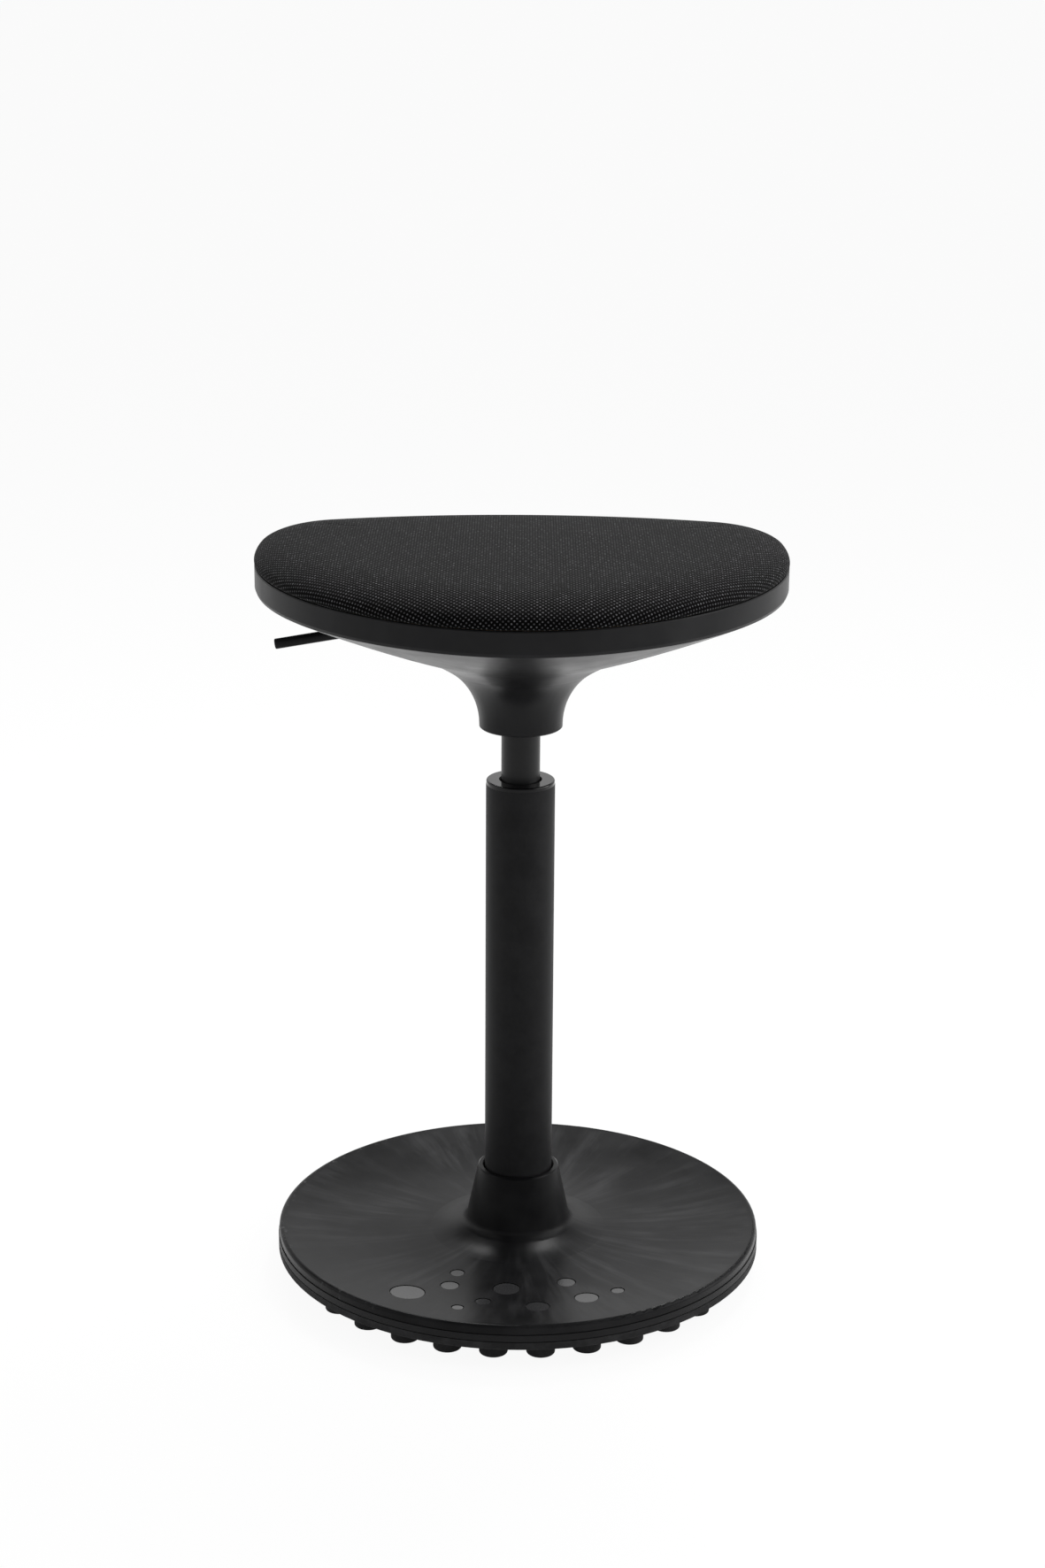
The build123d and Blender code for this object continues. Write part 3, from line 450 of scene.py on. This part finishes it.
@dataclass(frozen=True)
class Plywood(Finish):
    """Birch plywood: long grain on the faces and layers on the edge."""

    layer_mm: float = 1.6
    grain_mm: float = 3.0
    run_mm: float = 60.0
    grain_depth_mm: float = 0.03
    layer_share: float = 0.5
    grain_share: float = 0.7
    tone_starts: float = 0.2
    tone_full: float = 0.9

    def dress(self, tree: Tree, shader: Node, place: bpy.types.NodeSocket) -> None:
        """Stretched noise for the grain and bands by height for the layers.

        Args:
            tree: the material's tree.
            shader: its shader.
            place: a point's place in metres.
        """
        squeeze = (self.grain_mm / self.run_mm, 1.0, 1.0)
        drawn = add(tree, "Mapping", {"Vector": place, "Scale": squeeze})
        scale = per_metre(self.grain_mm)
        grain = add(tree, "TexNoise", {"Vector": drawn, "Scale": scale, "Detail": 4.0})
        height = add(tree, "SeparateXYZ", {0: place}).outputs["Z"]
        thick = self.layer_mm * MM
        layer = add(tree, "Math", {0: height, 1: thick}, operation="PINGPONG")
        dark = add(tree, "MapRange", {0: layer, IN_HIGH: thick, OUT_HIGH: self.layer_share})
        tones = {0: grain, 1: self.grain_share, 2: dark}
        tone = add(tree, "Math", tones, operation="MULTIPLY_ADD")
        stops = ((self.tone_starts, self.pale), (self.tone_full, self.colour))
        tint = add(tree, "ValToRGB", {0: tone}, stops)
        relief = add(tree, "Bump", {"Height": grain, "Distance": self.grain_depth_mm * MM})
        plug(tree, shader, {"Base Color": tint, "Normal": relief})


@dataclass(frozen=True)
class WovenCloth(Finish):
    """Plain-woven polyester cloth: raised floats in a chequer over gaps drawn near black as painted
    shade, with painted glints on a few threads and loose fibres.
    """

    # The real threads lie 1.2 mm apart, too fine to show, so they are drawn as coarse as they need
    thread_mm: float = 1.9
    drift_mm: float = 0.35
    drift_run_mm: float = 22.0
    fibre_mm: float = 0.5
    fibre_tones: tuple[float, float] = (0.6, 1.3)
    relief_mm: float = 0.4
    float_starts: float = 0.05
    float_full: float = 0.85
    # Painted glints: a few threads, picked at random, are drawn paler in the colour as painted
    # highlights
    glint_power: float = 6.0
    glint_tones: tuple[float, float] = (0.88, 1.5)
    glint_colour: str = "#58585a"
    glint_starts: float = 0.8
    sheen: float = 0.043
    sheen_roughness: float = 0.4

    def dress(self, tree: Tree, shader: Node, place: bpy.types.NodeSocket) -> None:
        """The product of two sines along the cloth's own map is a float at every second crossing.

        Args:
            tree: the material's tree.
            shader: its shader.
            place: not used; the cloth's own map stands in for a point's place.
        """
        shader.inputs["Sheen Weight"].default_value = self.sheen
        shader.inputs["Sheen Roughness"].default_value = self.sheen_roughness
        cloth = add(tree, "UVMap", uv_map="weave")
        scale = per_metre(self.drift_run_mm)
        drift = add(tree, "TexNoise", {"Vector": cloth, "Scale": scale}).outputs["Color"]
        span = (self.drift_mm * MM, self.drift_mm * MM, 0.0)
        shaken = add(tree, "VectorMath", {0: drift, 1: span, 2: cloth}, operation="MULTIPLY_ADD")
        half_wave = math.pi / (self.thread_mm * MM)
        turned = add(tree, "VectorMath", {0: shaken, "Scale": half_wave}, operation="SCALE")
        waves = add(tree, "VectorMath", {0: turned}, operation="SINE")
        parts = add(tree, "SeparateXYZ", {0: waves}).outputs
        chequer = add(tree, "Math", {0: parts["X"], 1: parts["Y"]}, operation="MULTIPLY")
        floats = {0: chequer, IN_LOW: self.float_starts, IN_HIGH: self.float_full}
        raised = add(tree, "MapRange", floats, interpolation_type="SMOOTHSTEP")
        step = (self.thread_mm * MM,) * 3
        # Painted glints: each thread gets a random chance, and the rare high ones are drawn paler
        thread = add(tree, "VectorMath", {0: shaken, 1: step}, operation="SNAP")
        chance = add(tree, "TexWhiteNoise", {"Vector": thread})
        glint = add(tree, "Math", {0: chance, 1: self.glint_power}, operation="POWER")
        low, high = self.glint_tones
        bright = add(tree, "MapRange", {0: glint, OUT_LOW: low, OUT_HIGH: high})
        scale = per_metre(self.fibre_mm)
        fibre = add(tree, "TexNoise", {"Vector": cloth, "Scale": scale, "Detail": 1.0})
        low, high = self.fibre_tones
        frays = {0: fibre, IN_LOW: NOISE_LOW, IN_HIGH: NOISE_HIGH, OUT_LOW: low, OUT_HIGH: high}
        # The colour paints light and shade: the gaps between the floats are drawn near black as
        # painted shade, and the glinting threads paler as painted highlights
        tone = raised
        for share in (bright, add(tree, "MapRange", frays)):
            tone = add(tree, "Math", {0: tone, 1: share}, operation="MULTIPLY")
        stops = ((0.0, self.colour), (self.glint_starts, self.pale), (1.0, self.glint_colour))
        tint = add(tree, "ValToRGB", {0: tone}, stops)
        relief = add(tree, "Bump", {"Height": raised, "Distance": self.relief_mm * MM})
        plug(tree, shader, {"Base Color": tint, "Normal": relief})


# The finishes, by the material slot of the record that each stands for
FINISHES: dict[str, Finish] = {
    # Polypropylene from a spark-eroded mould: satin black, greyed by wiping
    "cover_plastic": WipedCover(
        "moulded_polypropylene_cover", "#0b0b0c", "#404041", roughness=0.31, specular=0.155, facing=0.4
    ),
    # Small plugs of the same plastic from a polished mould: glossy, with a greyer colour that is
    # painted reflection
    "inlay_plastic": MouldedPlastic(
        "polished_polypropylene_discs", "#2b2b2c", "#3c3c3d",
        roughness=0.16, specular=0.45, grain_mm=0.3,
    ),
    # Pan in the cover's plastic, a little duller
    "pan_plastic": MouldedPlastic(
        "moulded_polypropylene_pan", "#0e0e0f", "#232324", roughness=0.46, specular=0.24, facing=0.6
    ),
    # Rubber sole: dull and dusty
    "sole_rubber": Rubber("moulded_rubber_sole", "#121213", "#2c2c2d", roughness=0.7, specular=0.2),
    # Glass-filled nylon shell: satin
    "shell_plastic": MouldedPlastic(
        "moulded_nylon_shell", "#171718", "#262627",
        roughness=0.34, specular=0.12, facing=1.0, grain_mm=0.5,
    ),
    # Powder coat on the tube: fine and even
    "tube_paint": Coat(
        "powder_coated_steel_tube", "#131314", "#1f1f20", roughness=0.5, specular=0.11, facing=0.9
    ),
    # Stove enamel on the cylinder: smoother than the tube
    "cylinder_paint": Coat(
        "enamelled_steel_cylinder", "#0c0c0d", "#161617", roughness=0.34, specular=0.24, peel_mm=2.0
    ),
    # Acetal bush, turned and polished: deep gloss
    "bush_plastic": MouldedPlastic(
        "polished_acetal_bush", "#070708", "#0f0f10",
        roughness=0.12, specular=0.4, facing=0.5, grain_depth_mm=0.002,
    ),
    # Lever rod in smooth black paint: dull, so that its edges stay dark against the white
    "lever_coat": Coat("coated_steel_lever", "#0e0e0f", "#18181a", roughness=0.4, specular=0.12),
    # Zinc-plated steel pieces: grey with drawing lines
    "plain_steel": BareMetal("zinc_plated_steel", "#a9abae", "#8f9194", roughness=0.34),
    "screw_steel": BareMetal("zinc_plated_fasteners", "#94969a", "#7e8084", roughness=0.30),
    # Hardened and ground bearing steel: bright
    "bearing_steel": BareMetal("ground_bearing_steel", "#c6c8cb", "#abadaf", roughness=0.14),
    # Stamped brass of the ball cage: warm yellow
    "cage_brass": BareMetal("stamped_brass", "#c09a4a", "#a3813c", roughness=0.30),
    # Machined grey acetal of the valve: matt
    "valve_plastic": MouldedPlastic("machined_acetal_grey", "#6a6c72", "#7d7f85", roughness=0.40),
    # Nitrile rubber of the seal and the buffer: dull black
    "seal_rubber": Rubber("nitrile_rubber_seal", "#18181a", "#29292b", roughness=0.6, specular=0.3),
    # Birch plywood of the seat board: pale with brown layers
    "plywood": Plywood("birch_plywood", "#9c7748", "#d8bc8c", roughness=0.62, specular=0.3),
    # Polyester upholstery cloth: soft black with paler floats, painted shade in the gaps between them
    # and painted glints on a few threads
    "cushion_fabric": WovenCloth(
        "woven_polyester_cloth", "#020202", "#2d2d2e", roughness=0.9, specular=0.06, facing=0.4
    ),
}


@dataclass
class CushionPad:
    """The upholstered pad: cloth drawn over foam and tucked behind the shell's rim.

    The plan outline is made of tangent arcs, as the shell's is. Each ring of the sheet is that
    outline drawn in by an inset, and the ring's inset and height follow the pad's profile.
    """

    apex_reach_mm: float = 167.0
    apex_radius_mm: float = 152.0
    apex_half_deg: float = 20.0
    side_radius_mm: float = 213.0
    side_end_deg: float = 6.0
    corner_radius_mm: float = 62.0
    corner_end_deg: float = 74.0
    edge_height_mm: float = 19.0
    edge_depth_mm: float = 45.0
    crown_mm: float = 2.0
    overhang_mm: float = 0.2
    tuck_mm: float = 1.7
    belly_mm: float = 2.6
    middle_y_mm: float = -4.0
    flat_share: float = 0.62
    roll_share: float = 0.92
    rings: int = 46
    frames: int = 14
    pressure: float = 2.0
    stretch_stiffness: float = 60.0
    bend_stiffness: float = 4.0
    point_mass: float = 0.4
    solver_steps: int = 6
    cap_mm: float = 1.0
    held_mm: float = 1.6
    smoothings: int = 8
    profile_points: int = 400
    node: str = "seat_cushion"
    name: str = "seat_cushion_cloth"
    low: float = field(default=0.0, init=False)

    def outline(self, angle: np.ndarray) -> tuple[np.ndarray, np.ndarray]:
        """Points of the outline with their outward normals.

        The outline is a chain of arcs whose normals turn through a full circle. Where the normal
        has direction a, the point is the arc's centre plus its radius times (cos a, sin a).

        Args:
            angle: normal directions in radians, any shape.

        Returns:
            The points in metres, with a last axis of two, and the unit normals.
        """
        degrees = (self.apex_half_deg - 90, self.side_end_deg, self.corner_end_deg)
        apex_end, side_end, corner_end = (math.radians(value) for value in degrees)
        radii = [self.apex_radius_mm, self.side_radius_mm, self.corner_radius_mm]
        centres = [np.array([0.0, self.apex_radius_mm - self.apex_reach_mm])]
        for end, old, new in zip((apex_end, side_end), radii, radii[1:]):
            centres.append(centres[-1] + np.array([math.cos(end), math.sin(end)]) * (old - new))
        back = radii[-1] + centres[-1][0] / math.cos(corner_end)
        way = np.array([math.cos(corner_end), math.sin(corner_end)])
        centres.append(centres[-1] + way * (radii[-1] - back))
        radii.append(back)
        # The left half mirrors the right, so the arcs are chosen on the right.
        right = np.arctan2(np.sin(angle), np.abs(np.cos(angle)))
        mirror = np.where(np.cos(angle) < 0, -1.0, 1.0)
        arc = np.digitize(right, [apex_end, side_end, corner_end])
        normal = np.stack([np.cos(right), np.sin(right)], -1)
        point = np.array(centres)[arc] + np.array(radii)[arc][..., None] * normal
        point[..., 0] *= mirror
        normal[..., 0] *= mirror
        return point * MM, normal

    def profile(self, share: np.ndarray) -> tuple[np.ndarray, np.ndarray, np.ndarray]:
        """The pad's profile from its middle to its tucked edge.

        Up to the flat share the outline is scaled and the crown falls as one minus the square of
        the scale. Then the rings follow a quarter ellipse out to the overhang, and a short curve
        tucks under.

        Args:
            share: place of each ring, from zero in the middle to one at the tucked edge.

        Returns:
            Scale of the outline, inset in metres and height in metres above the pad's foot.
        """
        scale = np.clip(share / self.flat_share, 0.0, 1.0)
        rolled = (share - self.flat_share) / (self.roll_share - self.flat_share)
        turn = np.clip(rolled, 0.0, 1.0) * math.pi / 2
        tuck = np.clip((share - self.roll_share) / (1 - self.roll_share), 0.0, 1.0)
        inset = self.edge_depth_mm * (1 - np.sin(turn)) - self.overhang_mm + self.tuck_mm * tuck**2
        height = self.belly_mm * (1 - tuck) + (self.edge_height_mm - self.belly_mm) * np.cos(turn)
        height = height + self.crown_mm * (1 - scale**2)
        return scale, inset * MM, height * MM

    def sheet(self) -> tuple[np.ndarray, np.ndarray, np.ndarray]:
        """The cloth, the pad's flat foot and the weave map, each on one square grid.

        A square sheet is laid over the pad. The larger of a point's two coordinates says which
        ring it lies on, and its place round that square ring says its direction. The weave map is
        the plan place pushed outwards until its distance from the middle is the distance along
        the cloth.

        Returns:
            Points of the cloth and of the foot in metres, and the map in metres.
        """
        line = np.linspace(-1.0, 1.0, 2 * self.rings + 1)
        a, b = np.meshgrid(line, line, indexing="ij")
        ring = np.maximum(np.abs(a), np.abs(b))
        sideways = np.abs(a) >= np.abs(b)
        tiny = 1e-9
        # In eighths of a turn, the square's four sides face 0, 2, 4 and 6
        along_a = b / np.where(a == 0, tiny, a) + np.where(a < 0, 4.0, 0.0)
        along_b = 2.0 - a / np.where(b == 0, tiny, b) + np.where(b < 0, 4.0, 0.0)
        angle = np.where(sideways, along_a, along_b) * math.pi / 4
        point, normal = self.outline(angle)
        scale, inset, height = self.profile(ring)
        middle = np.array([0.0, self.middle_y_mm * MM])
        flat = (point - normal * inset[..., None]) * scale[..., None] + middle * (1 - scale[..., None])
        cloth = np.concatenate([flat, (self.low + height)[..., None]], -1)
        edge_inset = (self.tuck_mm - self.overhang_mm) * MM
        foot = (point - normal * edge_inset) * ring[..., None]
        foot = np.concatenate([foot, np.full((*ring.shape, 1), self.low)], -1)
        share = np.linspace(0.0, 1.0, self.profile_points)
        step_scale, step_inset, step_height = self.profile(share)
        out = step_scale * self.apex_reach_mm * MM - step_inset
        travelled = np.concatenate([[0.0], np.cumsum(np.hypot(np.diff(out), np.diff(step_height)))])
        extra = np.interp(ring, share, travelled) - np.interp(ring, share, out - out[0])
        plan = np.maximum(np.linalg.norm(flat - middle, axis=-1), tiny)
        weave = (flat - middle) * (1 + extra / plan)[..., None]
        return cloth, foot, weave

    def mesh(self) -> bpy.types.Object:
        """Makes the pad as one closed mesh, the cloth above and the flat foot below.

        Returns:
            The pad, whose first vertices are the cloth's grid.
        """
        cloth, foot, weave = self.sheet()
        side = cloth.shape[0]
        over = np.arange(side * side).reshape(side, side)
        inner = np.zeros((side, side), bool)
        inner[1:-1, 1:-1] = True
        under = over.copy()
        under[inner] = side * side + np.arange(inner.sum())
        points = np.concatenate([cloth.reshape(-1, 3), foot[inner]])
        maps = np.concatenate([weave.reshape(-1, 2), foot[inner][:, :2]])
        top = np.stack([over[:-1, :-1], over[1:, :-1], over[1:, 1:], over[:-1, 1:]], -1)
        base = np.stack([under[:-1, :-1], under[:-1, 1:], under[1:, 1:], under[1:, :-1]], -1)
        faces = np.concatenate([top.reshape(-1, 4), base.reshape(-1, 4)])
        mesh = bpy.data.meshes.new(self.name)
        mesh.from_pydata(points.tolist(), [], faces.tolist())
        layer = mesh.uv_layers.new(name="weave")
        corners = np.zeros(len(mesh.loops), np.int32)
        mesh.loops.foreach_get("vertex_index", corners)
        layer.data.foreach_set("uv", maps[corners].astype(np.float32).ravel())
        mesh.shade_smooth()
        thing = bpy.data.objects.new(self.name, mesh)
        bpy.context.scene.collection.objects.link(thing)
        return thing

    def puff(self, thing: bpy.types.Object) -> None:
        """Blows the cloth gently outwards over its foam.

        Blender's cloth moves the sheet under pressure. The foam stops it from moving inwards, so
        only the outward part of each point's move is kept. It is capped, then averaged with its
        neighbours on the grid, because a taut cover has no creases.

        Args:
            thing: the pad. Its foot and tucked edge stay where they are.
        """
        mesh = thing.data
        rest = np.zeros(len(mesh.vertices) * 3)
        mesh.vertices.foreach_get("co", rest)
        rest = rest.reshape(-1, 3)
        normals = np.array([vertex.normal[:] for vertex in mesh.vertices])
        free = rest[:, 2] > self.low + self.held_mm * MM
        group = thing.vertex_groups.new(name="held")
        group.add(np.flatnonzero(~free).tolist(), 1.0, "REPLACE")
        cloth = thing.modifiers.new("cloth", "CLOTH")
        settings = cloth.settings
        settings.vertex_group_mass = group.name
        settings.use_pressure = True
        settings.uniform_pressure_force = self.pressure
        settings.tension_stiffness = self.stretch_stiffness
        settings.compression_stiffness = self.stretch_stiffness
        settings.bending_stiffness = self.bend_stiffness
        settings.mass = self.point_mass
        settings.quality = self.solver_steps
        settings.effector_weights.gravity = 0.0
        scene = bpy.context.scene
        scene.frame_start, scene.frame_end = 1, self.frames
        for frame in range(1, self.frames + 1):
            scene.frame_set(frame)
        shaped = thing.evaluated_get(bpy.context.evaluated_depsgraph_get()).to_mesh()
        moved = np.zeros(len(mesh.vertices) * 3)
        shaped.vertices.foreach_get("co", moved)
        thing.to_mesh_clear()
        thing.modifiers.remove(cloth)
        thing.vertex_groups.remove(group)
        scene.frame_set(1)
        outward = ((moved.reshape(-1, 3) - rest) * normals).sum(axis=1)
        LOG.info("the cushion's cloth moved out %.2f mm at most", outward.max() / MM)
        step = normals * np.clip(outward, 0.0, self.cap_mm * MM)[:, None]
        side = 2 * self.rings + 1
        grid = step[: side * side].reshape(side, side, 3)
        mask = free[: side * side].reshape(side, side, 1)
        for _ in range(self.smoothings):
            wide = np.pad(grid, ((1, 1), (1, 1), (0, 0)), "edge")
            near = wide[:-2, 1:-1] + wide[2:, 1:-1] + wide[1:-1, :-2] + wide[1:-1, 2:]
            grid = (grid + near) / 5 * mask
        step[: side * side] = grid.reshape(-1, 3)
        mesh.vertices.foreach_set("co", (rest + step).ravel())
        mesh.update()

    def build(self) -> bpy.types.Object:
        """Returns:
            The pad.
        """
        self.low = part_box(self.node)[0].z
        thing = self.mesh()
        self.puff(thing)
        finer = thing.modifiers.new("finer", "SUBSURF")
        finer.levels = finer.render_levels = 1
        thing.data.materials.append(FINISHES["cushion_fabric"].material())
        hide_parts(self.node)
        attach(thing, Body.SEAT.value)
        LOG.info("%s built", thing.name)
        return thing


@dataclass
class Dressing:
    """Gives every CAD node its finish."""

    skip: tuple[str, ...] = ("seat_cushion",)

    def dress(self, frame: dict) -> None:
        """Assigns to each node the material of its record slot.
        """
        slots = {row["node"]: row["material_slot"] for row in frame["record"]["subparts"]}
        for name, node in frame["nodes"].items():
            if name in self.skip:
                continue
            material = FINISHES[slots[name]].material()
            node.data.materials.clear()
            node.data.materials.append(material)
            LOG.info("%s dressed in %s", name, material.name)


@dataclass(frozen=True)
class Lamp:
    """A square soft light that faces the column's axis at a height of its own."""

    name: str
    place: tuple[float, float, float]
    faces_height: float
    side: float
    watts: float

    def hang(self) -> None:
        """Adds the light to the scene."""
        data = bpy.data.lights.new(self.name, "AREA")
        data.shape = "SQUARE"
        data.size = self.side
        data.energy = self.watts
        thing = bpy.data.objects.new(self.name, data)
        thing.location = self.place
        way = Vector((0.0, 0.0, self.faces_height)) - Vector(self.place)
        thing.rotation_euler = way.to_track_quat("-Z", "Y").to_euler()
        bpy.context.scene.collection.objects.link(thing)


@dataclass
class Studio:
    """Pale floor, soft lights and the camera at the photograph's place.

    Directions of the surround are told by the sine of their height above the horizon.
    """

    focal_px: float = 3497.6
    image_height_px: float = 1772.0
    sensor_mm: float = 36.0
    aim_height: float = 0.376
    distance: float = 2.2344
    pitch_deg: float = 17.21
    roll_deg: float = 0.36
    shift_px: float = 2.21
    floor_half: float = 30.0
    floor_colour: str = "#f0f0f0"
    floor_glow: float = 0.93
    floor_mirrored: float = 0.4
    backdrop: float = 0.96
    surround: float = 0.45
    horizon: float = 0.55
    zenith: float = 0.1
    band_starts: tuple[float, float] = (0.1, 0.28)
    band_ends: tuple[float, float] = (0.38, 0.58)
    lamps: tuple[Lamp, ...] = (
        Lamp("top_soft", (0.0, 0.9, 2.4), faces_height=0.4, side=1.6, watts=10.0),
        Lamp("back_left_soft", (-0.27, 1.43, 1.9), faces_height=0.3, side=0.5, watts=10.0),
        Lamp("back_right_soft", (0.47, 0.85, 1.9), faces_height=0.3, side=0.5, watts=16.0),
        Lamp("left_soft", (-1.6, -0.2, 1.2), faces_height=0.3, side=1.8, watts=9.0),
        Lamp("right_soft", (1.6, -0.2, 1.2), faces_height=0.3, side=1.8, watts=30.0),
    )

    def camera(self) -> None:
        """Places the camera and makes it the scene's."""
        pitch, roll = math.radians(self.pitch_deg), math.radians(self.roll_deg)
        forward = Vector((0.0, math.cos(pitch), -math.sin(pitch)))
        level = Vector((1.0, 0.0, 0.0))
        upright = level.cross(forward)
        right = level * math.cos(roll) + upright * math.sin(roll)
        upward = upright * math.cos(roll) - level * math.sin(roll)
        data = bpy.data.cameras.new("camera")
        data.sensor_fit = "VERTICAL"
        data.sensor_height = self.sensor_mm
        data.lens = self.focal_px / self.image_height_px * self.sensor_mm
        data.shift_x = self.shift_px / self.image_height_px
        data.clip_end = 2 * self.floor_half
        thing = bpy.data.objects.new("camera", data)
        place = Vector((0.0, 0.0, self.aim_height)) - forward * self.distance
        turned = Matrix((right, upward, -forward)).transposed().to_4x4()
        thing.matrix_world = Matrix.Translation(place) @ turned
        bpy.context.scene.collection.objects.link(thing)
        bpy.context.scene.camera = thing

    def floor(self) -> None:
        """A wide pale floor that shows near white and keeps the stool's soft shadow."""
        half = self.floor_half
        square = [(-half, -half, 0), (half, -half, 0), (half, half, 0), (-half, half, 0)]
        mesh = bpy.data.meshes.new("floor")
        mesh.from_pydata(square, [], [(0, 1, 2, 3)])
        thing = bpy.data.objects.new("floor", mesh)
        material = bpy.data.materials.new("painted_floor")
        material.use_nodes = True
        tree = material.node_tree
        tree.nodes.clear()
        seen, mirrored = rays(tree)
        shown = add(tree, "Math", {0: seen, 1: self.floor_glow}, operation="MULTIPLY")
        share = add(tree, "MapRange", {0: mirrored, OUT_LOW: shown, OUT_HIGH: self.floor_mirrored})
        matte = add(tree, "BsdfDiffuse", {"Color": linear(self.floor_colour)})
        glow = add(tree, "Emission", {"Color": WHITE, "Strength": 1.0})
        mixed = add(tree, "MixShader", {0: share, 1: matte, 2: glow})
        add(tree, "OutputMaterial", {"Surface": mixed})
        mesh.materials.append(material)
        bpy.context.scene.collection.objects.link(thing)

    def world(self) -> None:
        """A white surround for the eye, which lights the stool evenly and less brightly.

        Reflections see a white band above the horizon that fades overhead.
        """
        world = bpy.data.worlds.new("surround")
        world.use_nodes = True
        tree = world.node_tree
        tree.nodes.clear()
        seen, mirrored = rays(tree)
        height = add(tree, "SeparateXYZ", {0: add(tree, "TexCoord")}).outputs["Z"]
        low, high = self.band_starts
        rise = {0: height, IN_LOW: low, IN_HIGH: high, OUT_LOW: self.horizon, OUT_HIGH: 1.0}
        risen = add(tree, "MapRange", rise)
        low, high = self.band_ends
        fall = {0: height, IN_LOW: low, IN_HIGH: high, OUT_LOW: risen, OUT_HIGH: self.zenith}
        fade = add(tree, "MapRange", fall)
        lit = add(tree, "MapRange", {0: seen, OUT_LOW: self.surround, OUT_HIGH: self.backdrop})
        strength = add(tree, "MapRange", {0: mirrored, OUT_LOW: lit, OUT_HIGH: fade})
        back = add(tree, "Background", {"Color": WHITE, "Strength": strength})
        add(tree, "OutputWorld", {"Surface": back})
        bpy.context.scene.world = world

    def build(self) -> None:
        """Sets up camera, floor, surround and lights."""
        self.camera()
        self.floor()
        self.world()
        for lamp in self.lamps:
            lamp.hang()
        bpy.context.scene.view_settings.view_transform = "Standard"


def corners(box: tuple[Vector, Vector]) -> list[list[float]]:
    """A box as plain lists of numbers."""
    return [list(map(float, corner)) for corner in box]


def main() -> None:
    """Loads the frame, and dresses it."""
    logging.basicConfig(level=logging.INFO, format="%(name)s: %(message)s")
    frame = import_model()
    Studio().build()
    Dressing().dress(frame)
    CushionPad().build()
    LOG.info("all pieces are in place")


if __name__ == "__main__":
    main()
